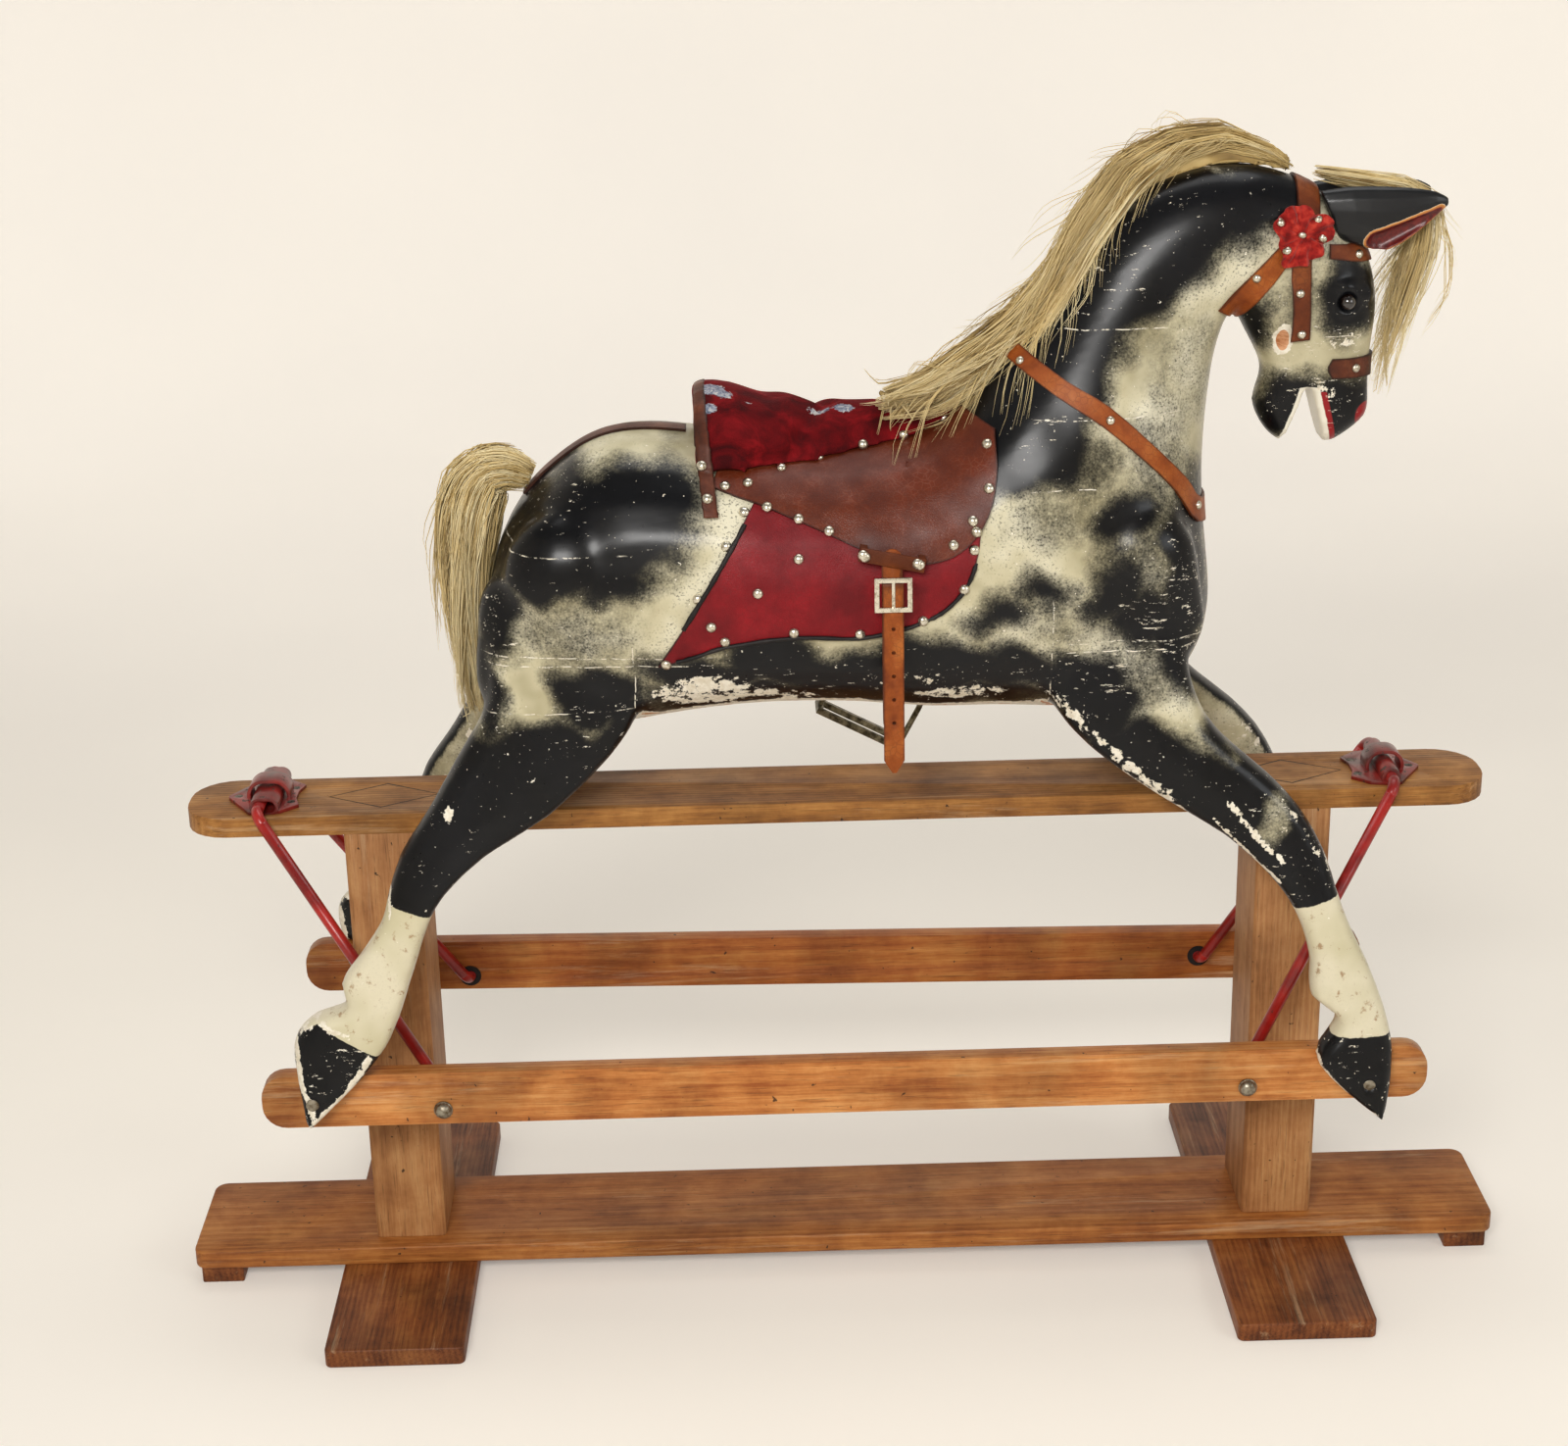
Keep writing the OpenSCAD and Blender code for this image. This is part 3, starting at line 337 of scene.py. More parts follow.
def old_board(name, axis, dark, middle, light, pith, gloss, grime, ends_mm=None, rub_mm=None):
    """Stained wood for a board along axis, grown round a pith line.

    With ends_mm, half the board's length, its ends are dirtier. With rub_mm, a middle and a half length,
    the board is scuffed more the further it is from that stretch.
    """
    material, tree, shader = new_material(name, Coat_Weight=0.06, Coat_Roughness=0.35, IOR=1.45,
                                          Specular_IOR_Level=0.3)
    place = add(tree, "TexCoord").outputs["Object"]
    log = add(tree, "Mapping", {"Vector": place, "Location": pith, "Rotation": ROLLED[axis],
                                "Scale": ALONG[axis]}).outputs[0]
    fleck_space = add(tree, "Mapping", {"Vector": log, "Scale": (2.5, 2.5, 2.5)}).outputs[0]
    scuff_space = add(tree, "Mapping", {"Vector": log, "Scale": (3.0, 3.0, 3.0)}).outputs[0]
    noise = {}
    for part, size_mm, detail, rough, space in (
            ("fibres", 2.4, 4.0, 0.7, log), ("streaks", 25, 3.0, 0.55, log),
            ("blotch", 60, 5.0, 0.65, place), ("dirt", 150, 4.0, 0.55, place),
            ("flecks", 4.5, 2.0, 0.5, fleck_space), ("scuffs", 60, 9.0, 0.75, scuff_space),
            ("specks", 8, 2.0, 0.5, place)):
        noise[part] = add(tree, "TexNoise", {"Vector": space, "Scale": 1000.0 / size_mm, "Detail": detail,
                                             "Roughness": rough, "Distortion": 0.25}).outputs["Fac"]
    rings = add(tree, "TexWave", {"Vector": log, "Scale": WAVE_MM / RING_MM, "Distortion": 7.0,
                                  "Detail": 3.0, "Detail Scale": 0.09, "Detail Roughness": 0.6},
                wave_type="RINGS", rings_direction=axis).outputs["Fac"]
    grain = 0.0
    for value, share in ((noise["streaks"], 0.28), (rings, 0.05), (noise["fibres"], 0.3),
                         (noise["blotch"], 0.37)):
        grain = add(tree, "Math", {0: value, 1: share, 2: grain}, operation="MULTIPLY_ADD").outputs[0]
    tone = add(tree, "ValToRGB", {"Fac": grain}, [(0.39, paint(dark)), (0.5, paint(middle)),
                                                  (0.62, paint(light))]).outputs["Color"]
    flecks = add(tree, "ValToRGB", {"Fac": noise["flecks"]},
                 [(0.3, grey(0.55)), (0.4, grey(1.0))]).outputs["Color"]
    tone = add(tree, "Mix", {0: 0.8, 6: tone, 7: flecks}, data_type="RGBA",
               blend_type="MULTIPLY").outputs[2]
    axes = add(tree, "SeparateXYZ", {0: place}).outputs
    dirt = noise["dirt"]
    if ends_mm:
        out = add(tree, "Math", {0: axes["X"]}, operation="ABSOLUTE").outputs[0]
        end = add(tree, "MapRange", {"Value": out, "From Min": (ends_mm - DIRTY_END_MM) * MM,
                                     "From Max": ends_mm * MM, "To Max": -0.22}).outputs[0]
        dirt = add(tree, "Math", {0: dirt, 1: end}, operation="ADD").outputs[0]
    stains = add(tree, "ValToRGB", {"Fac": dirt}, [(0.32, grey(1.0 - grime)), (0.56, grey(1.0))])
    tone = add(tree, "Mix", {0: 1.0, 6: tone, 7: stains.outputs["Color"]}, data_type="RGBA",
               blend_type="MULTIPLY").outputs[2]
    scuffs = noise["scuffs"]
    if rub_mm:
        away = add(tree, "Math", {0: axes["X"], 1: -rub_mm[0] * MM}, operation="ADD").outputs[0]
        away = add(tree, "Math", {0: away}, operation="ABSOLUTE").outputs[0]
        rub = add(tree, "MapRange", {"Value": away, "From Min": rub_mm[1] * MM, "To Max": 0.13}).outputs[0]
        scuffs = add(tree, "Math", {0: scuffs, 1: rub}, operation="ADD").outputs[0]
    scuffs = add(tree, "ValToRGB", {"Fac": scuffs}, [(0.58, grey(0.0)), (0.76, grey(0.6))])
    tone = add(tree, "Mix", {0: scuffs.outputs["Color"], 6: tone, 7: paint("D9BB92")},
               data_type="RGBA").outputs[2]
    specks = add(tree, "ValToRGB", {"Fac": noise["specks"]}, [(0.24, grey(0.9)), (0.28, grey(0.0))])
    tone = add(tree, "Mix", {0: specks.outputs["Color"], 6: tone, 7: paint("2A1A10")},
               data_type="RGBA").outputs[2]
    tree.links.new(tone, shader.inputs["Base Color"])
    dull = add(tree, "MapRange", {"Value": grain, "From Min": 0.35, "From Max": 0.65, "To Min": gloss + 0.1,
                                  "To Max": gloss - 0.06}).outputs[0]
    tree.links.new(dull, shader.inputs["Roughness"])
    bump = add(tree, "Bump", {"Strength": 0.25, "Distance": 0.4 * MM, "Height": grain})
    tree.links.new(bump.outputs["Normal"], shader.inputs["Normal"])
    return material


HOOF_RAIL_HALF_MM = 600
SMOOTH_STRETCH = (-110, 260)
base_wood = old_board("base_beech_stained", "X", "7A431D", "9C5F2C", "B97C40", (0.0, 0.05, -0.16), 0.52,
                      0.3)
foot_wood = old_board("foot_beech_stained_dark", "Y", "4E2610", "7C4420", "9C6232", (0.03, 0.0, -0.1),
                      0.5, 0.5)
rail_wood = old_board("rail_beech_oiled", "X", "6E4420", "96642F", "B98446", (0.0, 0.07, -0.6), 0.5, 0.42)
post_wood = old_board("post_beech_bare", "Z", "8C5C36", "A87548", "BE8F5E", (0.44, 0.09, 0.0), 0.58, 0.22)
near_rail_wood = old_board("hoof_rail_beech_varnished", "X", "9A5424", "C07A3E", "DA9C5C",
                           (0.0, 0.2, -0.35), 0.42, 0.4, HOOF_RAIL_HALF_MM, SMOOTH_STRETCH)
# The far hoof rail gets a darker copy of the same wood. The extra darkness is painted shade, because that
# rail lies in shadow beyond the horse.
far_rail_wood_painted_shade = old_board("hoof_rail_beech_varnished_painted_shade", "X", "85431A", "A25E2A", "BC7E40",
                          (0.0, -0.2, -0.35), 0.42, 0.4, HOOF_RAIL_HALF_MM, SMOOTH_STRETCH)
woods = (base_wood, foot_wood, rail_wood, post_wood, near_rail_wood, far_rail_wood_painted_shade)
print("wood finishes:", [wood.name for wood in woods])

# %% [markdown]
# ## The stand's boards
# Planed boards have softened arrises. Each board is a copy of its solid with flat faces merged, then a
# narrow bevel along the sharp edges, so that every edge catches a line of light. The diamond patches
# get a dark rim by an inset of their tops: partly old glue round them, partly painted shade along their
# edges.

# %% Boards with softened edges
BEVEL_ABOVE_DEG, SHARP_ABOVE_DEG = 30, 35.0
EDGE_SHADE_AND_GLUE_MM = 2.6


def dress(name, body, slot, material, width_mm, segments):
    """Copy of a solid with its sharp edges bevelled, in a finish."""
    piece = new_piece(name + "_dressed", merged_copy(name, flat=True), body, slot, name)
    bevel = piece.modifiers.new("Bevel", "BEVEL")
    bevel.width = width_mm * MM
    bevel.segments = segments
    bevel.limit_method = "ANGLE"
    bevel.angle_limit = math.radians(BEVEL_ABOVE_DEG)
    apply_modifiers(piece)
    shade(piece, SHARP_ABOVE_DEG)
    give(material, piece)
    return piece


dress("base_board", "stand", "base_wood", base_wood, 2.2, 3)
for part in ("cross_foot_front", "cross_foot_rear", "end_cleats"):
    dress(part, "stand", "base_wood", foot_wood, 2.0, 3)
for part in ("post_front", "post_rear"):
    dress(part, "stand", "post_wood", post_wood, 0.8, 2)
dress("top_rail", "stand", "rail_wood", rail_wood, 2.5, 3)
patches = dress("diamond_patches", "stand", "rail_wood", rail_wood, 0.3, 1)
# The dark rim is partly old glue and partly painted shade, for the shadow along the raised patch edges.
edge_shade_and_glue, _, _ = new_material("patch_edge_shade_and_glue_dark", Roughness=0.7, Base_Color=paint("20140D"))
patches.data.materials.append(edge_shade_and_glue)
bm = bmesh.new()
bm.from_mesh(patches.data)
tops = [f for f in bm.faces if f.normal.z > 0.9]
for face in bmesh.ops.inset_region(bm, faces=tops, thickness=EDGE_SHADE_AND_GLUE_MM * MM)["faces"]:
    face.material_index = 1
bm.to_mesh(patches.data)
bm.free()
dress("hoof_rail_near", "horse", "hoof_rail_wood", near_rail_wood, 3.5, 3)
dress("hoof_rail_far", "horse", "hoof_rail_wood", far_rail_wood_painted_shade, 3.5, 3)

# %% [markdown]
# ## Painted irons and brackets
# The rods are bent round bar in bright red enamel, brushed on thick, which chips to dark iron at knocks.
# The cast brackets are an older, browner red with grime in it. Chips are islands of a noise: where it
# passes a threshold the paint is gone, the metal is rougher, and a small step in the bump gives the
# paint its thickness.

# %% Red enamel


def enamel(name, light, dark, chip_mm, chips):
    material, tree, shader = new_material(name, IOR=1.45, Coat_Weight=0.15, Coat_Roughness=0.25)
    place = add(tree, "TexCoord").outputs["Object"]
    cloud = add(tree, "TexNoise", {"Vector": place, "Scale": 28.0, "Detail": 4.0}).outputs["Fac"]
    tone = add(tree, "ValToRGB", {"Fac": cloud}, [(0.35, paint(dark)), (0.62, paint(light))])
    flakes = add(tree, "TexNoise", {"Vector": place, "Scale": 1000.0 / chip_mm, "Detail": 6.0,
                                    "Roughness": 0.65}).outputs["Fac"]
    bare = add(tree, "ValToRGB", {"Fac": flakes}, [(chips, grey(0.0)), (chips + 0.02, grey(1.0))])
    iron = add(tree, "ValToRGB", {"Fac": flakes}, [(chips, paint("2C1A14")), (0.85, paint("6E5A50"))])
    colour = add(tree, "Mix", {0: bare.outputs["Color"], 6: tone.outputs["Color"],
                               7: iron.outputs["Color"]}, data_type="RGBA").outputs[2]
    tree.links.new(colour, shader.inputs["Base Color"])
    dull = add(tree, "MapRange", {"Value": bare.outputs["Color"], "To Min": 0.3, "To Max": 0.62})
    tree.links.new(dull.outputs[0], shader.inputs["Roughness"])
    brush = add(tree, "TexNoise", {"Vector": place, "Scale": 160.0, "Detail": 2.0}).outputs["Fac"]
    depth = add(tree, "Math", {0: bare.outputs["Color"], 1: -0.8, 2: brush},
                operation="MULTIPLY_ADD").outputs[0]
    bump = add(tree, "Bump", {"Strength": 0.35, "Distance": 0.25 * MM, "Height": depth})
    tree.links.new(bump.outputs["Normal"], shader.inputs["Normal"])
    return material


rod_red = enamel("rod_red_enamel", "A8211C", "74100F", 14.0, 0.66)
cast_red = enamel("cast_iron_red_enamel", "8A2620", "4E1210", 9.0, 0.6)
for part, body in (("swing_iron_front", "front_iron"), ("swing_iron_rear", "rear_iron")):
    rod = new_piece(part + "_painted", merged_copy(part), body, "red_iron", part)
    shade(rod, 40.0)
    give(rod_red, rod)
for part in ("bracket_front", "bracket_rear"):
    dress(part, "stand", "red_iron", cast_red, 0.7, 2)
print("irons painted:", rod_red.name, cast_red.name)

# %% [markdown]
# A thin washer of black waxed leather sits on each rail where a rod goes in, and stops the creak. Leather
# that has soaked up oil is black and nearly matt. A washer is a flat disc, laid on the rail's inner face.

# %% Washers at the rod ends
WASHER_R, WASHER_THICK, RIM_POINTS = 12.0, 1.2, 32
ROD_END_X, ROD_END_Z = 411.5, 257.5  # where the rods leave the rails
washer_leather, _, _ = new_material("washer_leather_oiled_black", Roughness=0.6, Base_Color=paint("15100E"),
                                    Specular_IOR_Level=0.3)
bm = bmesh.new()
for rail, side in (("hoof_rail_near", -1), ("hoof_rail_far", 1)):
    inner = np.abs(points_of(nodes[rail].data)[:, 1]).min() / MM
    for end in (-1, 1):
        where = Matrix.Translation((end * ROD_END_X * MM, side * (inner - WASHER_THICK / 2) * MM,
                                    ROD_END_Z * MM))
        bmesh.ops.create_cone(bm, cap_ends=True, segments=RIM_POINTS, radius1=WASHER_R * MM,
                              radius2=WASHER_R * MM, depth=WASHER_THICK * MM,
                              matrix=where @ Matrix.Rotation(math.pi / 2, 4, "X"))
washers = new_piece("rod_washers", mesh_from(bm, "rod_washers_mesh"), "horse", "screw_steel")
shade(washers, 40.0)
give(washer_leather, washers)
print("washers:", len(washers.data.vertices) // (2 * RIM_POINTS))

# %% [markdown]
# ## Small metal
# Domed caps close the ends of the rods, and bolts hold the hooves. They are nickel plate gone dull,
# steel, and, on the far stirrup, old bronze. A metal's colour is its reflection, so its base colour is
# the tint of that, and wear shows as patches of higher roughness and of brown tarnish.

# %% Metal finishes


def old_metal(name, bright, tarnish, smooth_mm, gloss, spots):
    material, tree, shader = new_material(name, Metallic=1.0)
    place = add(tree, "TexCoord").outputs["Object"]
    patina = add(tree, "TexNoise", {"Vector": place, "Scale": 1000.0 / smooth_mm, "Detail": 5.0,
                                    "Roughness": 0.65}).outputs["Fac"]
    tone = add(tree, "ValToRGB", {"Fac": patina}, [(spots, paint(tarnish)), (spots + 0.2, paint(bright))])
    tree.links.new(tone.outputs["Color"], shader.inputs["Base Color"])
    dull = add(tree, "MapRange", {"Value": patina, "From Min": 0.3, "From Max": 0.7, "To Min": gloss + 0.25,
                                  "To Max": gloss}).outputs[0]
    tree.links.new(dull, shader.inputs["Roughness"])
    bump = add(tree, "Bump", {"Strength": 0.2, "Distance": 0.1 * MM, "Height": patina})
    tree.links.new(bump.outputs["Normal"], shader.inputs["Normal"])
    return material


nickel = old_metal("stud_nickel_plate_dulled", "D8D2C2", "84765C", 5.0, 0.16, 0.32)
steel = old_metal("screw_steel_darkened", "7A7268", "2E2824", 6.0, 0.4, 0.4)
bronze = old_metal("stirrup_bronze_aged", "7C745E", "3E382A", 8.0, 0.34, 0.4)
cap_metal = old_metal("cap_nickel_plate_worn", "9A9384", "5A4C3A", 9.0, 0.3, 0.38)
bodies = frame["record"]["behaviour"]["bodies"]
for part in ("axle_caps_front", "axle_caps_rear"):
    riding = next(body for body, members in bodies.items() if part in members)
    cap = new_piece(part + "_plated", merged_copy(part), riding, "nickel", part)
    shade(cap, 40.0)
    give(cap_metal, cap)
dress("bracket_screws", "stand", "screw_steel", steel, 0.15, 1)
dress("hoof_bolts", "horse", "screw_steel", cap_metal, 0.5, 2)
dress("stirrup_iron_far", "stirrup", "stirrup_bronze", bronze, 0.3, 1)
print("metal finishes:", nickel.name, steel.name, bronze.name)

# %% [markdown]
# ## The carved horse
# The carver glued pine blocks into a rough horse and rounded it with gouge and rasp, so the real
# surface runs over the joints without a step. Copies of the blocks are merged and remeshed with small
# voxels, which welds them into one skin. Smoothing then removes the facets. It works at full strength
# on the barrel and the neck and gently on legs and head, where it would eat the thin forms.

# %% Weld and smooth the blocks
blocks = ["leg_hind_near", "leg_hind_far", "leg_fore_near", "leg_fore_far", "belly_block", "body_block",
          "back_block", "neck_block", "crest_block", "head"]
SKIN_VOXEL_MM = 4.6  # fine enough for the teeth, and under 200,000 triangles
horse = new_piece("horse_carving", merged_copy(*blocks), "horse", "horse_paint", *blocks)
remesh(horse, SKIN_VOXEL_MM * MM)
at = points_of(horse.data) / MM
thin_leg = ramp(at[:, 2], 690, 600)
thin_head = ramp(at[:, 0], 385, 420) * ramp(at[:, 2], 870, 900) * ramp(at[:, 2], 1190, 1150)
smooth(horse, 30, np.clip(1.0 - 0.88 * np.maximum(thin_leg, thin_head), 0.1, 1.0))
smooth(horse, 2)
print("skin faces:", len(horse.data.polygons))

# %% [markdown]
# The head needs finer work than the barrel. Only its faces are split once more, and then gouge cuts are
# made as soft pushes: each moves the points inside a radius along one direction, most at its middle.
# Both sides get the same cuts.

# %% Carve eyes, nostrils, jaw and hooves


def refine(piece, chosen):
    """Splits the faces whose middle is chosen."""
    bm = bmesh.new()
    bm.from_mesh(piece.data)
    edges = {e for f in bm.faces if chosen(f.calc_center_median() / MM) for e in f.edges}
    bmesh.ops.subdivide_edges(bm, edges=list(edges), cuts=1, use_grid_fill=True, smooth=0.0)
    bm.normal_update()
    bm.to_mesh(piece.data)
    bm.free()


def push(places, centre, radii, depth):
    """Moves the points inside an ellipsoid, most at its middle, and the same on the other side."""
    for side in (-1, 1):
        middle = np.array([centre[0], side * centre[1], centre[2]])
        away = np.sqrt((((places - middle) / np.array(radii)) ** 2).sum(1))
        strength = (1 - np.clip(away, 0, 1) ** 2) ** 2
        places += strength[:, None] * np.array([depth[0], side * depth[1], depth[2]])


EYE_X, EYE_Z = 501, 1040
LID_RADIUS, LID_WIDTH, LID_HEIGHT = 12.5, 3.0, 1.7
CUTS = [  # middle, radii and push in millimetres, and what the cut makes
    ((501, 40, 1056), (24, 16, 9), (0, 1.8, 1.5)),  # brow
    ((524, 30, 926), (9, 14, 11), (-2, -7, 2)),  # nostril
    ((522, 34, 944), (14, 14, 10), (1, 2.5, 0)),  # swell above the nostril
    ((486, 38, 985), (28, 14, 26), (0, -3.5, 0)),  # hollow of the cheek
    ((470, 34, 966), (9, 16, 12), (0, -3, 0)),  # corner of the mouth
    ((436, 44, 1062), (16, 16, 34), (0, -2.5, 0)),  # edge of the jaw
    ((368, 56, 1040), (14, 26, 60), (4, -3, 0)),  # throat
    ((280, 112, 742), (16, 40, 60), (0, -5, 0)),  # crease before the foreleg
    ((-196, 122, 706), (18, 40, 50), (0, -5, 0))]  # crease before the thigh

refine(horse, lambda c: c.x > 402 and 880 < c.z < 1120)
at = points_of(horse.data) / MM
eye = np.hypot(at[:, 0] - EYE_X, at[:, 2] - EYE_Z)
lid = np.exp(-((eye - LID_RADIUS) / LID_WIDTH) ** 2) * (at[:, 0] > 470) * (np.abs(at[:, 1]) > 20)
at[:, 1] += np.sign(at[:, 1]) * lid * LID_HEIGHT
for centre, radii, depth in CUTS:
    push(at, centre, radii, depth)
move_points(horse.data, at * MM)
shade(horse)
print("carved points:", len(at))

# %% [markdown]
# The painter laid black dapples over cream with a nearly dry sponge, so each has a dark heart and a
# smoky, grainy rim. The dapples are ellipses in the side view. Each gives every point a value that falls
# across its rim, over a width in millimetres, and the values are stored on the mesh, so that the pattern
# follows the carving. The far side gets the same dapples, a little shifted, because no painter repeats
# them exactly. One faint oval on the front of the neck is painted shade, laid in the same way.

# %% Helpers for places in the side view


def beside(px, pz, start, end):
    """Distance in the side view from points to the line from start to end."""
    run = np.array(end, float) - np.array(start, float)
    share = np.clip(((px - start[0]) * run[0] + (pz - start[1]) * run[1]) / (run @ run), 0, 1)
    return np.hypot(px - start[0] - share * run[0], pz - start[1] - share * run[1])


def along(px, pz, stops):
    """Distance in the side view from points to a chain of lines."""
    return np.min([beside(px, pz, a, b) for a, b in zip(stops, stops[1:])], axis=0)


def spread(px, pz, ovals, rim_mm):
    """Strongest of some ovals, given as middle x and z, half length, half height and strength."""
    most = np.zeros(len(px))
    for middle_x, middle_z, half_x, half_z, strength in ovals:
        away = np.sqrt(((px - middle_x) / half_x) ** 2 + ((pz - middle_z) / half_z) ** 2)
        most = np.maximum(most, strength * ramp((away - 1) * min(half_x, half_z), rim_mm, -rim_mm))
    return most


print("side view helpers ready")

# %% Lay out the dapples
# An oval is its middle's x and z, its half length and half height in millimetres, and its strength.
DAPPLES = {
    "rump": [(-232, 850, 90, 46, 1), (-170, 884, 38, 24, 1), (-296, 832, 46, 54, 1), (-222, 806, 36, 18, 1),
             (-338, 768, 24, 62, 0.95), (-347, 700, 16, 60, 0.9), (-192, 800, 18, 9, 0.8),
             (-262, 752, 66, 36, 0.3)],
    "thigh": [(-243, 684, 44, 32, 1), (-285, 636, 76, 22, 1), (-214, 655, 30, 28, 1),
              (-320, 708, 24, 24, 0.35)],
    "belly": [(-128, 702, 62, 22, 1), (-62, 716, 48, 28, 1), (10, 700, 76, 27, 1), (98, 708, 74, 28, 1),
              (170, 698, 46, 24, 1), (0, 668, 215, 24, 1)],
    "flank": [(196, 781, 24, 13, 0.95), (160, 761, 27, 16, 0.9), (206, 764, 12, 8, 0.8),
              (225, 742, 24, 12, 0.4)],
    "shoulder": [(186, 934, 56, 42, 1), (160, 900, 28, 28, 0.95), (248, 905, 26, 30, 0.45),
                 (212, 852, 40, 26, 0.3)],
    "chest": [(284, 848, 30, 22, 0.95), (268, 778, 30, 34, 0.8), (344, 790, 30, 84, 0.97),
              (304, 745, 38, 36, 0.75),
              (340, 712, 28, 38, 0.95), (306, 800, 60, 90, 0.42), (315, 890, 40, 60, 0.3),
              # The last oval darkens the front of the neck a little. It is painted shade, not dapple paint.
              (338, 985, 44, 78, 0.18)],
    "foreleg": [(236, 688, 46, 28, 1), (252, 652, 44, 28, 1), (302, 608, 56, 34, 1), (345, 586, 44, 32, 1),
                (396, 578, 44, 26, 1), (384, 642, 13, 46, 0.95), (300, 688, 30, 30, 0.4),
                (410, 608, 16, 26, 0.9)],
    "head": [(503, 1046, 30, 38, 1), (416, 1022, 14, 24, 1), (448, 932, 32, 32, 1), (508, 930, 34, 36, 1),
             (470, 1152, 64, 18, 1), (460, 1040, 26, 34, 0.3)]}
# Ovals of cream inside the black, and the line above which the neck is black.
LIGHTS = [(-310, 684, 20, 32, 0.95), (-236, 656, 10, 8, 0.5), (436, 538, 18, 30, 0.72),
          (362, 1171, 30, 5, 0.8), (283, 1146, 10, 8, 0.7)]
NECK_EDGE = [(150, 884), (205, 884), (238, 905), (252, 950), (263, 990), (300, 1033), (345, 1067),
             (400, 1108), (455, 1128), (482, 1150)]

FAR_SHIFT_MM = 14.0
DAPPLE_RIM_MM, LIGHT_RIM_MM, NECK_RIM_MM = 21, 11, 28

facing = points_of(horse.data, "normal")
x, y, z = at.T
near = y < 0
hind = x < -150
shift = np.where(near, 0.0, FAR_SHIFT_MM) * ramp(np.abs(y), 0, 60)
wave_x = x + 6 * np.sin(z / 17 + y / 31) + 4 * np.sin(z / 7.3 + x / 23) + shift
wave_z = z + 6 * np.sin(x / 19 + y / 27) + 4 * np.sin(x / 8.1 + z / 21) - 0.6 * shift
black = np.max([spread(wave_x, wave_z, ovals, DAPPLE_RIM_MM) for ovals in DAPPLES.values()], axis=0)
above_neck_edge = np.where(wave_z > np.interp(wave_x, *zip(*NECK_EDGE)), 1, -1)
neck = ramp(above_neck_edge * along(wave_x, wave_z, NECK_EDGE), -NECK_RIM_MM, NECK_RIM_MM) * (x > 140)
leg = np.where(hind, ramp(wave_z, 662, 628), ramp(wave_z, 616, 588) * (x > 180))
black = np.maximum(np.maximum(black, neck), leg)
black *= 1 - spread(wave_x, wave_z, LIGHTS, LIGHT_RIM_MM)
inner_leg = ramp(facing[:, 1] * np.sign(y), -0.6, -0.92) * ramp(z, 690, 650) * ramp(np.abs(y), 30, 60)
black *= 1 - 0.85 * inner_leg
print("share of black:", round(float((black > 0.5).mean()), 2))

# %% [markdown]
# Stockings, hooves, teeth and lips have crisp brush lines, so they are stored as distances in
# millimetres to their edge: an edge drawn from a distance stays sharp between the points of the mesh.
# Worn wood shows where hands, boots and the floor rubbed: on sharp edges, under the belly and down the
# back edge of the legs.

# %% Lay out stockings, hooves, mouth and wear
hind_hoof_top = np.minimum(357 - 0.64 * (x + 520), 363 + 0.45 * (x + 530))
stocking = np.where(hind, 480 - 0.35 * (x + 453), 451 + 0.3 * (x - 455)) - z
hoof = np.where(hind, hind_hoof_top, 320 + 0.03 * (x - 472)) - z
stocking[z > 620] = -50
hoof[z > 500] = -50
in_head = (x > 400) & (z > 880) & (z < 975)
lower_jaw = beside(x, z, (469, 962), (448, 892))
upper_jaw = beside(x, z, (471, 962), (490, 892))
teeth = np.where(in_head & (z < 955), 6.0 - np.minimum(lower_jaw, upper_jaw), -20.0)
gums = np.where(in_head & (z < 950), 3.2 - np.abs(upper_jaw - 8.5), -20.0)
nostril = 11.0 - np.hypot(x - 529, (z - 922) * 0.8)
red = np.maximum(np.where(in_head & (np.abs(y) > 6), nostril, -20.0), gums)

edges = np.zeros(len(horse.data.edges) * 2, np.int32)
horse.data.edges.foreach_get("vertices", edges)
edges = edges.reshape(-1, 2)
around = np.zeros_like(at)
count = np.zeros(len(at))
for a, b in ((0, 1), (1, 0)):
    np.add.at(around, edges[:, a], at[edges[:, b]])
    np.add.at(count, edges[:, a], 1)
bulge = -((around / count[:, None] - at) * facing).sum(1)
edge_wear = ramp(bulge, 0.3, 1.0) * np.where(z < 760, 1.0, 0.6)
WEAR = [  # a line in the side view, half width in millimetres, depth of wear from 0 to 1
    ([(-195, 652), (-150, 641), (-60, 638), (60, 636), (160, 634), (215, 636)], 6, 1.0),
    ([(205, 652), (250, 606), (300, 574), (345, 545)], 7, 0.98),
    ([(215, 668), (262, 624), (292, 596), (330, 566)], 11, 0.6),
    ([(385, 562), (412, 528), (440, 500)], 6, 0.72),
    ([(372, 545), (402, 512), (438, 478)], 3, 0.7),
    ([(440, 560), (490, 490), (520, 420), (550, 350), (556, 300)], 8, 0.5),
    ([(-195, 655), (-215, 625), (-240, 600)], 6, 0.8),
    ([(-444, 540), (-453, 500), (-452, 466)], 3, 0.7),
    ([(-552, 352), (-530, 364), (-500, 350)], 7, 0.6),
    ([(-555, 345), (-549, 300), (-536, 262)], 6, 0.8),
    ([(-480, 326), (-505, 290), (-536, 262)], 6, 0.8),
    ([(472, 318), (482, 285), (512, 252), (534, 238)], 6, 0.8)]
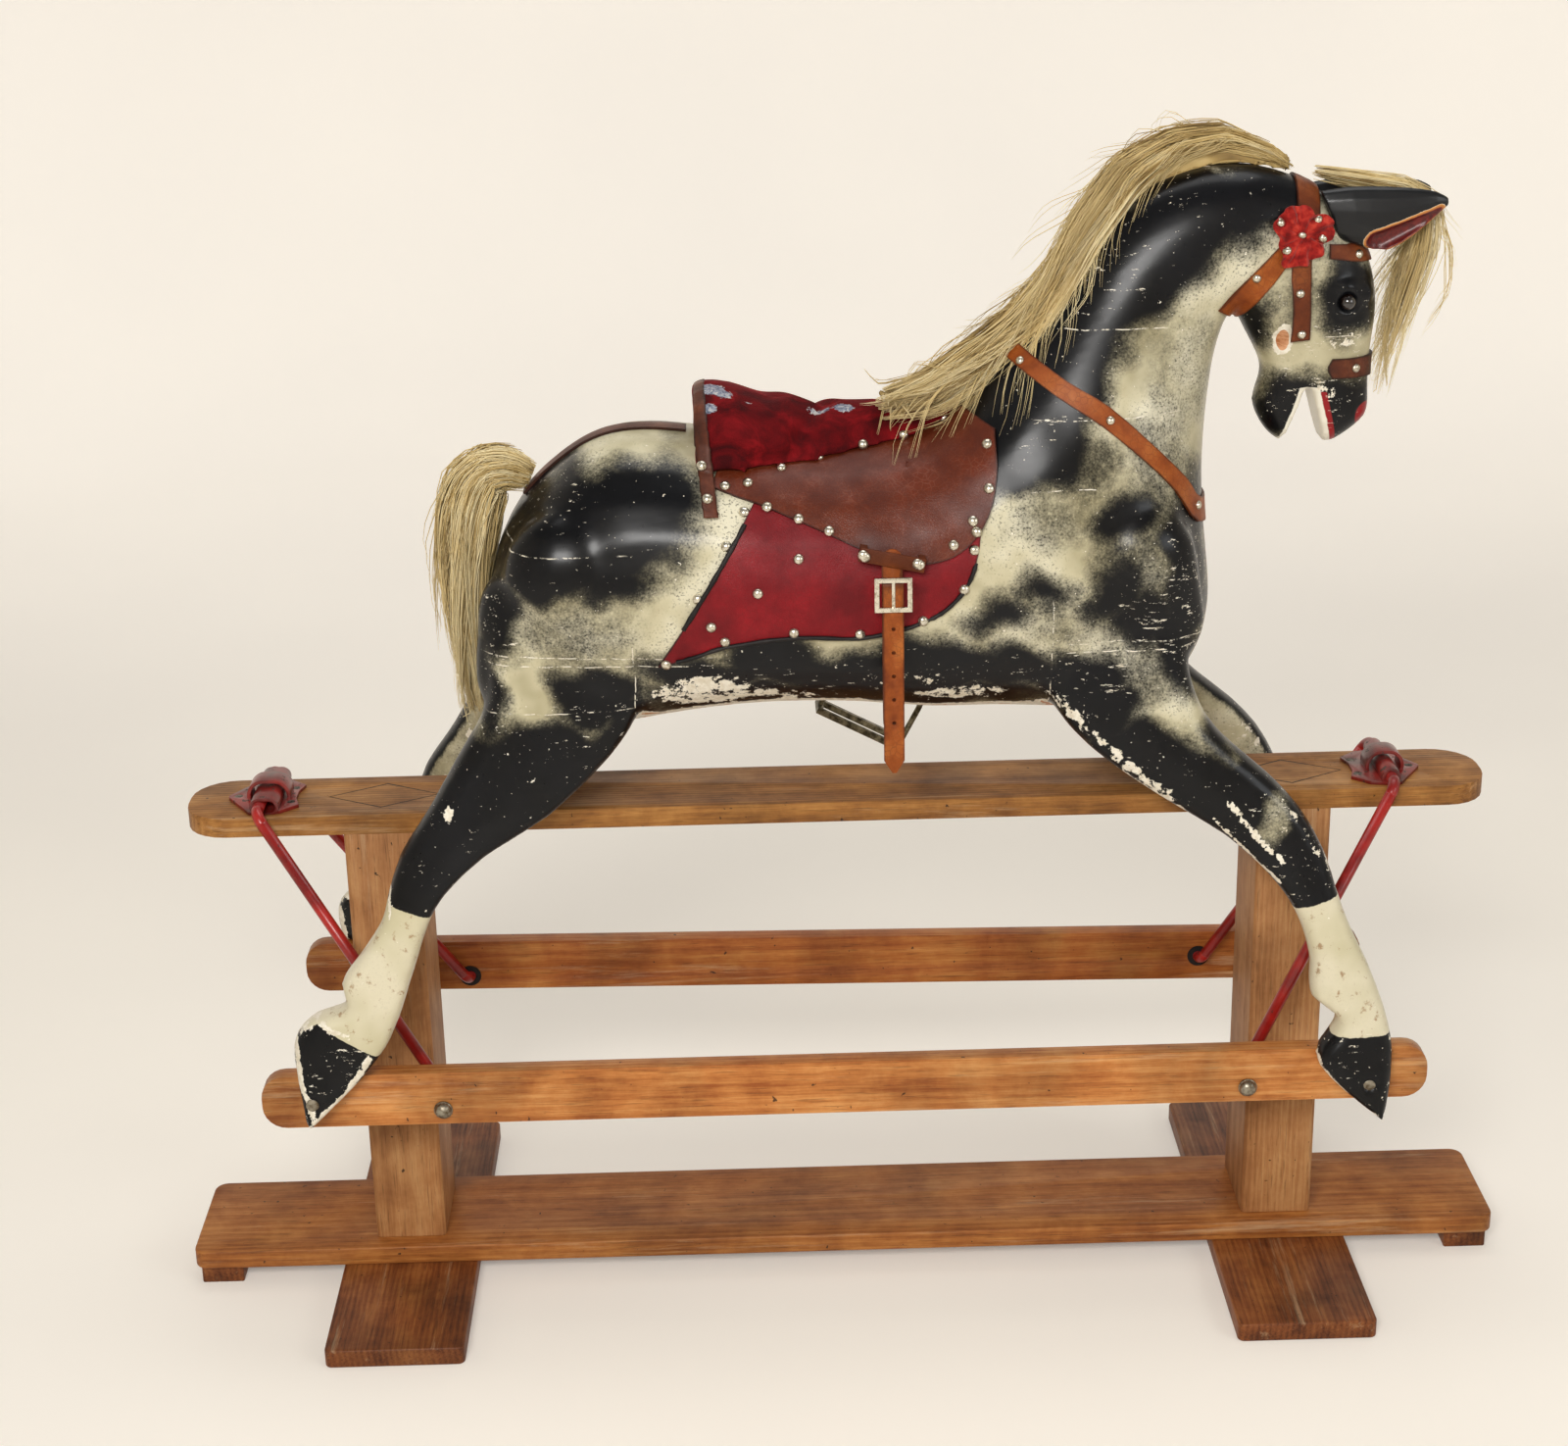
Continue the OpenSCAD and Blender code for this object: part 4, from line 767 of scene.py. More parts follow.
# Ovals, as for the dapples, where the paint flakes off.
FLAKING = [(-130, 682, 62, 24, 0.62), (-60, 672, 50, 14, 0.55), (60, 694, 84, 10, 0.5),
           (120, 672, 70, 14, 0.56), (440, 1004, 8, 15, 1.3), (497, 1004, 17, 12, 0.62),
           (350, 1171, 36, 6, 0.7), (480, 950, 24, 14, 0.45), (440, 545, 14, 24, 0.4),
           (505, 560, 20, 30, 0.3), (-388, 573, 5, 10, 0.95)]
bare = spread(x, z, FLAKING, 9) * np.where(near | (z < 900), 1.0, 0.6)
for stops, half_mm, depth in WEAR:
    bare = np.maximum(bare, depth * np.exp(-(along(x, z, stops) / half_mm) ** 2))
under = ramp(facing[:, 2], -0.7, -0.92) * (z < 700) * (z > 600) * (x > -200) * (x < 215)
bare = np.maximum(bare, 0.85 * under)
# Ovals where small nicks lie closer.
KNOCKS = [(335, 760, 60, 110, 1), (440, 520, 80, 70, 0.7), (-290, 880, 90, 30, 0.8),
          (-335, 740, 24, 110, 1),
          (250, 690, 80, 40, 1), (500, 290, 80, 50, 0.75), (-510, 310, 50, 50, 0.8), (480, 970, 60, 80, 1),
          (275, 1080, 50, 36, 1), (330, 1130, 70, 30, 0.7), (-240, 650, 60, 50, 0.7),
          (0, 690, 180, 26, 0.9),
          (200, 940, 50, 30, 0.8), (-420, 540, 70, 60, 0.5), (300, 600, 60, 50, 0.5)]
nicks = 0.25 + 0.75 * spread(x, z, KNOCKS, 30)
# Glue-line cracks: a level z and its span in x, then an x and its span in z.
H_CRACKS = {944: (190, 340), 1025: (215, 330), 829: (-352, -200), 725: (-352, -120), 669: (-350, -200),
            716: (215, 380), 1006: (470, 540), 880: (185, 260)}
V_CRACKS = {-200: (652, 745), 210: (645, 775)}
CRACK_REACH_MM = 14  # how far from its level a crack may wander
flat_cracks = np.zeros(len(at))
for level, (start, end) in H_CRACKS.items():
    in_span = ramp(x, start, start + 12) * ramp(x, end, end - 12)
    flat_cracks = np.maximum(flat_cracks, (np.abs(z - level) < CRACK_REACH_MM) * in_span)
upright_cracks = np.zeros(len(at))
for level, (start, end) in V_CRACKS.items():
    in_span = ramp(z, start, start + 10) * ramp(z, end, end - 10)
    upright_cracks = np.maximum(upright_cracks, (np.abs(x - level) < CRACK_REACH_MM) * in_span)
for name, values in (("black", black), ("stocking", stocking), ("hoof", hoof), ("teeth", teeth),
                     ("red", red),
                     ("bare", np.clip(np.maximum(bare, 0.75 * edge_wear), 0, 1)), ("nicks", nicks),
                     ("flat_cracks", flat_cracks), ("upright_cracks", upright_cracks)):
    store(horse.data, name, values)
print("points of bare wood:", int((bare > 0.7).sum()))

# %% [markdown]
# The finish is built in the order in which it was made, and worn in the reverse order: pine, white gesso,
# cream oil paint, black dapples, thin yellowed varnish. One noise with large and small islands is added
# to each wear value. Past one threshold the paint is off and gesso shows, past a higher one the gesso is
# off as well. The black takes a fine grain where it is half strength, as a dry brush leaves it.

# %% Horse paint


def horse_paint():
    material, tree, shader = new_material("pine_gesso_oil_paint_varnished", IOR=1.45, Coat_Weight=0.28,
                                          Coat_Roughness=0.22, Specular_IOR_Level=0.12)
    place = add(tree, "TexCoord").outputs["Object"]
    axes = add(tree, "SeparateXYZ", {0: place}).outputs
    scratch_space = add(tree, "Mapping", {"Vector": place, "Rotation": (0.0, 0.5, 0.0),
                                          "Scale": (0.3, 1.0, 1.7)}).outputs[0]
    fibre_space = add(tree, "Mapping", {"Vector": place, "Scale": (0.06, 1.0, 1.0)}).outputs[0]
    brush_space = add(tree, "Mapping", {"Vector": place, "Rotation": (0.0, -0.9, 0.0),
                                        "Scale": (0.12, 1.0, 1.0)}).outputs[0]
    layer = {}
    for name in ("black", "stocking", "hoof", "teeth", "red", "bare", "nicks", "flat_cracks",
                 "upright_cracks"):
        layer[name] = add(tree, "Attribute", attribute_name=name).outputs["Fac"]
    noise = {}
    for name, size_mm, detail, rough, space in (
            ("cloud", 90, 3.0, 0.6, place), ("grain", 7, 4.0, 0.7, place), ("dust", 2.2, 2.0, 0.6, place),
            ("flake", 11, 6.0, 0.68, place), ("patch", 38, 3.0, 0.6, place), ("swell", 34, 2.0, 0.6, place),
            ("dots", 4.0, 2.0, 0.6, place), ("wander", 30, 3.0, 0.6, place), ("gaps", 13, 5.0, 0.75, place),
            ("depth", 26, 5.0, 0.6, place), ("nicks", 7, 4.0, 0.8, scratch_space),
            ("fibres", 5, 4.0, 0.7, fibre_space), ("brush", 4, 3.0, 0.6, brush_space)):
        noise[name] = add(tree, "TexNoise", {"Vector": space, "Scale": 1000.0 / size_mm, "Detail": detail,
                                             "Roughness": rough}).outputs["Fac"]
    cream = add(tree, "ValToRGB", {"Fac": noise["cloud"]},
                [(0.35, paint("A59C7C")), (0.5, paint("C6BE9F")), (0.66, paint("DCD6BE"))]).outputs["Color"]
    legs = add(tree, "ValToRGB", {"Fac": noise["cloud"]},
               [(0.35, paint("C8C09F")), (0.6, paint("DAD2B8"))]).outputs["Color"]
    in_stocking = add(tree, "Math", {0: noise["flake"], 1: 7.0, 2: layer["stocking"]},
                      operation="MULTIPLY_ADD").outputs[0]
    in_stocking = add(tree, "MapRange", {"Value": in_stocking, "From Min": 3.0, "From Max": 4.0},
                      interpolation_type="SMOOTHSTEP").outputs[0]
    cream = add(tree, "Mix", {0: in_stocking, 6: cream, 7: legs}, data_type="RGBA").outputs[2]
    # Grime and brush dust in the cream, in drifts, but hardly any in the stockings.
    drift = add(tree, "Math", {0: noise["grain"], 1: 0.35}, operation="MULTIPLY").outputs[0]
    drift = add(tree, "Math", {0: noise["cloud"], 1: 0.9, 2: drift}, operation="MULTIPLY_ADD").outputs[0]
    drift = add(tree, "MapRange", {"Value": drift, "From Min": 0.56, "From Max": 0.78},
                interpolation_type="SMOOTHSTEP").outputs[0]
    peppered = add(tree, "MapRange", {"Value": noise["dust"], "From Min": 0.54, "From Max": 0.68,
                                      "To Max": 0.75}, interpolation_type="SMOOTHSTEP").outputs[0]
    peppered = add(tree, "Math", {0: peppered, 1: drift}, operation="MULTIPLY").outputs[0]
    above_stocking = add(tree, "Math", {0: in_stocking, 1: -0.9, 2: 1.0},
                         operation="MULTIPLY_ADD").outputs[0]
    peppered = add(tree, "Math", {0: peppered, 1: above_stocking}, operation="MULTIPLY").outputs[0]
    cream = add(tree, "Mix", {0: peppered, 6: cream, 7: paint("3A3A30")}, data_type="RGBA").outputs[2]
    # Rusty stains, nearly all of them in the stockings.
    rusty = add(tree, "MapRange", {"Value": noise["flake"], "From Min": 0.57, "From Max": 0.68,
                                   "To Max": 0.8}, interpolation_type="SMOOTHSTEP").outputs[0]
    most_in_stocking = add(tree, "Math", {0: in_stocking, 1: 0.9, 2: 0.1},
                           operation="MULTIPLY_ADD").outputs[0]
    rusty = add(tree, "Math", {0: rusty, 1: most_in_stocking}, operation="MULTIPLY").outputs[0]
    cream = add(tree, "Mix", {0: rusty, 6: cream, 7: paint("9A7650")}, data_type="RGBA").outputs[2]
    # The dapples: half strength turns to grain.
    soft = add(tree, "Math", {0: noise["patch"], 1: 0.3, 2: layer["black"]},
               operation="MULTIPLY_ADD").outputs[0]
    soft = add(tree, "MapRange", {"Value": soft, "From Min": 0.22, "From Max": 0.9}).outputs[0]
    rim = add(tree, "Math", {0: 1.0, 1: soft}, operation="SUBTRACT").outputs[0]
    rim = add(tree, "Math", {0: soft, 1: rim}, operation="MULTIPLY").outputs[0]
    rim = add(tree, "Math", {0: rim, 1: 4.0}, operation="MULTIPLY").outputs[0]
    bristle = add(tree, "Math", {0: noise["dust"], 1: 0.5}, operation="SUBTRACT").outputs[0]
    coarse_bristle = add(tree, "Math", {0: noise["grain"], 1: 0.5}, operation="SUBTRACT").outputs[0]
    bristle = add(tree, "Math", {0: bristle, 1: coarse_bristle}, operation="ADD").outputs[0]
    grainy = add(tree, "Math", {0: rim, 1: bristle}, operation="MULTIPLY").outputs[0]
    grainy = add(tree, "Math", {0: grainy, 1: 0.8, 2: soft}, operation="MULTIPLY_ADD").outputs[0]
    # A power keeps the middle of the rim smoky, because half black still reflects a lot of light.
    clear = add(tree, "MapRange", {"Value": grainy, "To Min": 1.0, "To Max": 0.0}).outputs[0]
    clear = add(tree, "Math", {0: clear, 1: 2.2}, operation="POWER").outputs[0]
    smoke = add(tree, "Math", {0: 1.0, 1: clear}, operation="SUBTRACT").outputs[0]
    out_of_stocking = add(tree, "Math", {0: 1.0, 1: in_stocking}, operation="SUBTRACT").outputs[0]
    dark = add(tree, "Math", {0: smoke, 1: out_of_stocking}, operation="MULTIPLY").outputs[0]
    in_hoof = add(tree, "Math", {0: noise["flake"], 1: 4.0, 2: layer["hoof"]},
                  operation="MULTIPLY_ADD").outputs[0]
    in_hoof = add(tree, "MapRange", {"Value": in_hoof, "From Min": 1.6, "From Max": 2.4},
                  interpolation_type="SMOOTHSTEP").outputs[0]
    dark = add(tree, "Math", {0: dark, 1: in_hoof}, operation="MAXIMUM").outputs[0]
    ink = add(tree, "ValToRGB", {"Fac": noise["cloud"]},
              [(0.3, paint("050506")), (0.7, paint("0D0E12"))]).outputs["Color"]
    colour = add(tree, "Mix", {0: dark, 6: cream, 7: ink}, data_type="RGBA").outputs[2]
    in_red = add(tree, "MapRange", {"Value": layer["red"], "From Min": -0.6, "From Max": 0.6},
                 interpolation_type="SMOOTHSTEP").outputs[0]
    colour = add(tree, "Mix", {0: in_red, 6: colour, 7: paint("8E1A1E")}, data_type="RGBA").outputs[2]
    on_teeth = add(tree, "Math", {0: noise["flake"], 1: 3.0, 2: layer["teeth"]},
                   operation="MULTIPLY_ADD").outputs[0]
    on_teeth = add(tree, "MapRange", {"Value": on_teeth, "From Min": 1.0, "From Max": 2.0},
                   interpolation_type="SMOOTHSTEP").outputs[0]
    colour = add(tree, "Mix", {0: on_teeth, 6: colour, 7: paint("E8E2D2")}, data_type="RGBA").outputs[2]
    # Wear: small nicks and dots, glue-line cracks, flaked paint, bare wood.
    nick_level = add(tree, "MapRange", {"Value": layer["nicks"], "To Min": 0.74, "To Max": 0.62}).outputs[0]
    nicks = add(tree, "Math", {0: noise["nicks"], 1: nick_level}, operation="SUBTRACT").outputs[0]
    nicks = add(tree, "MapRange", {"Value": nicks, "From Min": 0.0, "From Max": 0.012},
                interpolation_type="SMOOTHSTEP").outputs[0]
    dots = add(tree, "MapRange", {"Value": noise["dots"], "From Min": 0.72, "From Max": 0.74},
               interpolation_type="SMOOTHSTEP").outputs[0]
    wander = add(tree, "Math", {0: noise["wander"], 1: 0.005, 2: -0.0025},
                 operation="MULTIPLY_ADD").outputs[0]
    cracks = 0.0
    for axis, levels, mask in (("Z", H_CRACKS, "flat_cracks"), ("X", V_CRACKS, "upright_cracks")):
        for level in levels:
            away = add(tree, "Math", {0: axes[axis], 1: wander}, operation="ADD").outputs[0]
            away = add(tree, "Math", {0: away, 1: level * MM}, operation="SUBTRACT").outputs[0]
            away = add(tree, "Math", {0: away}, operation="ABSOLUTE").outputs[0]
            line = add(tree, "MapRange", {"Value": away, "From Min": 0.7 * MM, "From Max": 0.3 * MM},
                       interpolation_type="SMOOTHSTEP").outputs[0]
            line = add(tree, "Math", {0: line, 1: layer[mask]}, operation="MULTIPLY").outputs[0]
            cracks = add(tree, "Math", {0: line, 1: cracks}, operation="MAXIMUM").outputs[0]
    open_here = add(tree, "MapRange", {"Value": noise["gaps"], "From Min": 0.47, "From Max": 0.55},
                    interpolation_type="SMOOTHSTEP").outputs[0]
    cracks = add(tree, "Math", {0: cracks, 1: open_here}, operation="MULTIPLY").outputs[0]
    worn = add(tree, "Math", {0: layer["bare"], 1: 0.72}, operation="MULTIPLY").outputs[0]
    worn = add(tree, "Math", {0: noise["flake"], 1: 0.95, 2: worn}, operation="MULTIPLY_ADD").outputs[0]
    flaked = add(tree, "MapRange", {"Value": worn, "From Min": 0.865, "From Max": 0.885},
                 interpolation_type="SMOOTHSTEP").outputs[0]
    near_wear = add(tree, "MapRange", {"Value": layer["bare"], "From Min": 0.12, "From Max": 0.3},
                    interpolation_type="SMOOTHSTEP").outputs[0]
    flaked = add(tree, "Math", {0: flaked, 1: near_wear}, operation="MULTIPLY").outputs[0]
    wooden = add(tree, "Math", {0: layer["bare"], 1: 0.85}, operation="MULTIPLY").outputs[0]
    wooden = add(tree, "Math", {0: noise["depth"], 1: 0.5, 2: wooden}, operation="MULTIPLY_ADD").outputs[0]
    wooden = add(tree, "MapRange", {"Value": wooden, "From Min": 1.0, "From Max": 1.03},
                 interpolation_type="SMOOTHSTEP").outputs[0]
    white = 0.0
    for kind in (nicks, dots, cracks, flaked):
        white = add(tree, "Math", {0: white, 1: kind}, operation="MAXIMUM").outputs[0]
    gesso = add(tree, "ValToRGB", {"Fac": noise["grain"]},
                [(0.35, paint("D8CEB8")), (0.6, paint("F0EADB"))]).outputs["Color"]
    pine = add(tree, "ValToRGB", {"Fac": noise["fibres"]},
               [(0.35, paint("A8683E")), (0.6, paint("D9A47C"))]).outputs["Color"]
    colour = add(tree, "Mix", {0: white, 6: colour, 7: gesso}, data_type="RGBA").outputs[2]
    colour = add(tree, "Mix", {0: wooden, 6: colour, 7: pine}, data_type="RGBA").outputs[2]
    tree.links.new(colour, shader.inputs["Base Color"])
    # Gesso and wood are matt, and lie a little lower than the paint.
    matt = add(tree, "Math", {0: white, 1: wooden}, operation="MAXIMUM").outputs[0]
    dull = add(tree, "Math", {0: noise["grain"], 1: 0.4}, operation="MULTIPLY").outputs[0]
    dull = add(tree, "Math", {0: matt, 1: 0.6, 2: dull}, operation="MULTIPLY_ADD").outputs[0]
    dull = add(tree, "MapRange", {"Value": dull, "To Min": 0.2, "To Max": 0.78}).outputs[0]
    tree.links.new(dull, shader.inputs["Roughness"])
    relief = add(tree, "Math", {0: noise["brush"], 1: 0.35}, operation="MULTIPLY").outputs[0]
    relief = add(tree, "Math", {0: matt, 1: -0.7, 2: relief}, operation="MULTIPLY_ADD").outputs[0]
    relief = add(tree, "Math", {0: noise["swell"], 1: 1.6, 2: relief}, operation="MULTIPLY_ADD").outputs[0]
    bump = add(tree, "Bump", {"Strength": 0.35, "Distance": 0.7 * MM, "Height": relief})
    tree.links.new(bump.outputs["Normal"], shader.inputs["Normal"])
    return material


paint_finish = horse_paint()
give(paint_finish, horse)
print("nodes in the horse paint:", len(paint_finish.node_tree.nodes))

# %% [markdown]
# ## Leather tack
# Saddler's leather is cut flat, laid wet on the horse and nailed, so it follows the carving exactly. It
# is made the same way here: a patch of the horse's own skin is cut out along the piece's outline, lifted
# by the thickness of what lies beneath, and made solid. An outline is given as a ladder, two edges with
# rungs between them. Each gap between two rungs is cut out with four planes, and the pieces are welded.

# %% Cutting leather from the skin
SPARE_MM = 9  # skin kept round a piece before the exact cut
SIDE_MM = 14  # a piece of one side stays this far from the middle plane
TINY_MM = 0.05
face_middles = np.zeros(len(horse.data.polygons) * 3, np.float32)
horse.data.polygons.foreach_get("center", face_middles)
face_middles = face_middles.reshape(-1, 3) / MM


def curve_through(stops, steps):
    """Points of a smooth curve through the stops."""
    stops = [np.array(stop, float) for stop in stops]
    ends = [stops[0]] + stops + [stops[-1]]
    found = []
    for a, b, c, d in zip(ends, ends[1:], ends[2:], ends[3:]):
        for i in range(steps):
            t = i / steps
            found.append(0.5 * (2 * b + (c - a) * t + (2 * a - 5 * b + 4 * c - d) * t * t
                                + (3 * b - a - 3 * c + d) * t ** 3))
    return found + [stops[-1]]


def skin_patch(corners, side):
    """The skin's faces in a box round the corners, on both sides of the horse or on one."""
    low, high = np.min(corners, axis=0) - SPARE_MM, np.max(corners, axis=0) + SPARE_MM
    across, outwards, upwards = face_middles.T
    inside = (across > low[0]) & (across < high[0]) & (upwards > low[1]) & (upwards < high[1])
    if side:
        inside &= outwards * side > SIDE_MM
    bm = bmesh.new()
    bm.from_mesh(horse.data)
    bm.faces.ensure_lookup_table()
    spare = [bm.faces[int(i)] for i in np.nonzero(~inside)[0]]
    bmesh.ops.delete(bm, geom=spare, context="FACES")
    return bm


def side_view(face):
    middle = face.calc_center_median() / MM
    return np.array((middle.x, middle.z))


def cut_leather(first, second, side, half_width=None):
    """Open patch of skin between two edges of as many points, and within half_width of the middle plane."""
    region = skin_patch(np.array(list(first) + list(second)), side)
    whole = bmesh.new()
    for i in range(len(first) - 1):
        cell = [first[i], first[i + 1], second[i + 1], second[i]]
        centre = np.mean(cell, axis=0)
        part = region.copy()
        half = np.abs(np.array(cell) - centre).max(axis=0)
        far_off = [f for f in part.faces if (np.abs(side_view(f) - centre) - half).max() > SPARE_MM]
        bmesh.ops.delete(part, geom=far_off, context="FACES")
        for a, b in zip(cell, cell[1:] + cell[:1]):
            edge = np.array(b) - np.array(a)
            if np.hypot(*edge) < TINY_MM:
                continue
            normal = Vector((edge[1], 0, -edge[0])).normalized()
            if normal.dot(Vector((centre[0] - a[0], 0, centre[1] - a[1]))) > 0:
                normal.negate()
            geometry = part.verts[:] + part.edges[:] + part.faces[:]
            bmesh.ops.bisect_plane(part, geom=geometry, dist=1e-7, plane_co=Vector((a[0], 0, a[1])) * MM,
                                   plane_no=normal, clear_outer=True)
        scrap = bpy.data.meshes.new("scrap")
        part.to_mesh(scrap)
        part.free()
        whole.from_mesh(scrap)
        bpy.data.meshes.remove(scrap)
    region.free()
    bmesh.ops.remove_doubles(whole, verts=whole.verts, dist=TINY_MM * MM)
    for way in (-1, 1) if half_width else ():
        geometry = whole.verts[:] + whole.edges[:] + whole.faces[:]
        bmesh.ops.bisect_plane(whole, geom=geometry, dist=1e-7, plane_co=(0, way * half_width * MM, 0),
                               plane_no=(0, way, 0), clear_outer=True)
    whole.normal_update()
    return whole


def leather_piece(name, node, slot, material, first, second, lift, thick=2.5, side=0, shape=None,
                  half_width=None):
    """Lifts the cut patch by lift millimetres, lets shape move it, and gives it thickness outwards."""
    bm = cut_leather(first, second, side, half_width)
    piece = new_piece(name, mesh_from(bm, name + "_mesh"), "horse", slot, node)
    places, outward = points_of(piece.data) / MM, points_of(piece.data, "normal")
    height = lift(places) if callable(lift) else np.full(len(places), float(lift))
    if shape is not None:
        height = height + shape(places)
    store(piece.data, "rim_mm", rim_distance(piece.data, places))
    move_points(piece.data, (places + outward * height[:, None]) * MM)
    body = piece.modifiers.new("Solidify", "SOLIDIFY")
    body.thickness = thick * MM
    body.offset = 1.0
    body.use_even_offset = False
    apply_modifiers(piece)
    shade(piece, 50.0)
    give(material, piece)
    return piece


def rim_distance(mesh, places):
    """Distance in millimetres of each point to the patch's open edge."""
    bm = bmesh.new()
    bm.from_mesh(mesh)
    rim_points = [v.index for v in bm.verts if v.is_boundary]
    bm.free()
    rims = places[rim_points]
    distance = np.full(len(places), 99.0)
    for start in range(0, len(places), 2000):
        chunk = places[start:start + 2000]
        gaps = np.sqrt(((chunk[:, None, :] - rims[None, :, :]) ** 2).sum(2))
        distance[start:start + 2000] = gaps.min(1)
    return distance


def patch_levels(stops_low, stops_high, stations):
    """The two edges of a wide patch, each as points at the same stations along the horse."""
    low = curve_through(stops_low, 6)
    high = curve_through(stops_high, 6)
    first = [(s, float(np.interp(s, [p[0] for p in low], [p[1] for p in low]))) for s in stations]
    second = [(s, float(np.interp(s, [p[0] for p in high], [p[1] for p in high]))) for s in stations]
    return first, second


print("skin faces to cut from:", len(face_middles))

# %% [markdown]
# Leather is a fine net of creases round small raised cells. Cell noise of a millimetre or two draws the
# cells, and a slow noise the darker handled places. Old leather also cracks where it bends and wears
# pale and rough along its cut edges, and the distance to the rim, kept on the mesh, says where. On the
# flap the cracks are drawn lighter than the leather, as painted highlights.

# %% Leather finishes


def leather(name, dark, middle, light, grain_mm, gloss, edge, cracks=0.0, coat=0.05, crease="2A1510"):
    material, tree, shader = new_material(name, IOR=1.5, Coat_Weight=coat, Coat_Roughness=0.3,
                                          Specular_IOR_Level=0.2)
    place = add(tree, "TexCoord").outputs["Object"]
    cloud = add(tree, "TexNoise", {"Vector": place, "Scale": 26.0, "Detail": 5.0,
                                   "Roughness": 0.6}).outputs["Fac"]
    tone = add(tree, "ValToRGB", {"Fac": cloud}, [(0.34, paint(dark)), (0.52, paint(middle)),
                                                  (0.68, paint(light))]).outputs["Color"]
    cells = add(tree, "TexVoronoi", {"Vector": place, "Scale": 1000.0 / grain_mm},
                feature="DISTANCE_TO_EDGE").outputs["Distance"]
    pores = add(tree, "MapRange", {"Value": cells, "From Max": 0.16}).outputs[0]
    bend = add(tree, "TexNoise", {"Vector": place, "Scale": 30.0, "Detail": 2.0}).outputs["Color"]
    bent = add(tree, "Mix", {0: 0.012, 6: place, 7: bend}, data_type="RGBA", blend_type="ADD").outputs[2]
    folds = add(tree, "TexVoronoi", {"Vector": bent, "Scale": 140.0}, feature="DISTANCE_TO_EDGE")
    open_at = add(tree, "MapRange", {"Value": cloud, "From Min": 0.45, "From Max": 0.6, "To Max": cracks})
    crack = add(tree, "MapRange", {"Value": folds.outputs["Distance"], "From Max": 0.07, "To Min": 1.0,
                                   "To Max": 0.0}).outputs[0]
    crack = add(tree, "Math", {0: crack, 1: open_at.outputs[0]}, operation="MULTIPLY").outputs[0]
    # Cracks take the crease colour: a dark crack line on most leathers, and on the flap a lighter brown
    # that is a painted highlight.
    tone = add(tree, "Mix", {0: crack, 6: tone, 7: paint(crease)}, data_type="RGBA").outputs[2]
    rim = add(tree, "Attribute", attribute_name="rim_mm").outputs["Fac"]
    rough_rim = add(tree, "Math", {0: cloud, 1: 3.0, 2: rim}, operation="MULTIPLY_ADD").outputs[0]
    worn = add(tree, "MapRange", {"Value": rough_rim, "From Min": 1.6, "From Max": 3.6, "To Min": 0.85,
                                  "To Max": 0.0}).outputs[0]
    tone = add(tree, "Mix", {0: worn, 6: tone, 7: paint(edge)}, data_type="RGBA").outputs[2]
    tree.links.new(tone, shader.inputs["Base Color"])
    dull = add(tree, "MapRange", {"Value": cloud, "From Min": 0.3, "From Max": 0.7, "To Min": gloss + 0.14,
                                  "To Max": gloss - 0.06}).outputs[0]
    tree.links.new(dull, shader.inputs["Roughness"])
    relief = add(tree, "Math", {0: crack, 1: -2.0, 2: pores}, operation="MULTIPLY_ADD").outputs[0]
    bump = add(tree, "Bump", {"Strength": 0.3, "Distance": 0.35 * MM, "Height": relief})
    tree.links.new(bump.outputs["Normal"], shader.inputs["Normal"])
    return material


# The flap's cracks are drawn in a lighter brown, 82503E, as painted highlights where the creases catch the
# light.
flap_leather = leather("flap_leather_brown_waxed_painted_glint", "4C1C0D", "5A2411", "682B17", 2.2, 0.34, "2A110A", 0.3,
                       0.1, "82503E")
red_leather = leather("saddle_leathercloth_red", "640811", "780B15", "8A111B", 1.8, 0.4, "1A1416", 0.2)
strap_leather = leather("strap_leather_tan", "6A2C0D", "934918", "AB6129", 2.0, 0.44, "4E220C", 0.4)
bridle_leather = leather("bridle_leather_brown", "431B0A", "6A3114", "834520", 2.0, 0.42, "34160B", 0.4)
dark_leather = leather("cantle_leather_dark", "34180E", "582A18", "744028", 2.0, 0.4, "26120B", 0.4)
piping_leather = leather("piping_leather_black", "121010", "1E1A1A", "2E2A28", 1.6, 0.42, "121010", 0.2)
print("leathers:", flap_leather.name, red_leather.name, strap_leather.name)

# %% [markdown]
# The saddle has a red leathercloth next to the wood and a brown flap over it. The flap lies on the wood
# where the cloth ends, so its lift changes there. The nails pull the leather down a little, which shows
# as dimples round them.

# %% Saddle flaps and cloths
FLAP_STUDS = [(-84, 890), (-66, 871), (-36, 860), (-7, 849), (24, 832), (76, 822), (112, 834), (131, 856),
              (147, 885), (147, 923), (-51, 899), (-14, 904), (30, 912), (70, 919), (110, 934), (-106, 888)]
CLOTH_STUDS = [(-88, 866), (-106, 837), (-135, 787), (-168, 719), (-123, 759), (-110, 743), (-43, 751),
               (21, 748), (82, 760), (122, 790), (132, 828), (134, 846), (-37, 824), (-77, 792)]
DIMPLE_SPREAD = 60.0  # in square millimetres


def dimples(studs, depth):
    """Height change of the leather: a dimple at each stud, and a faint waviness."""
    def pull(places):
        height = np.zeros(len(places))
        for sx, sz in studs:
            square = (places[:, 0] - sx) ** 2 + (places[:, 2] - sz) ** 2
            height -= depth * np.exp(-square / DIMPLE_SPREAD)
        ripple = np.sin(places[:, 0] / 9.0 + places[:, 2] / 14.0)
        return height + 0.35 * ripple * np.sin(places[:, 2] / 11.0)
    return pull


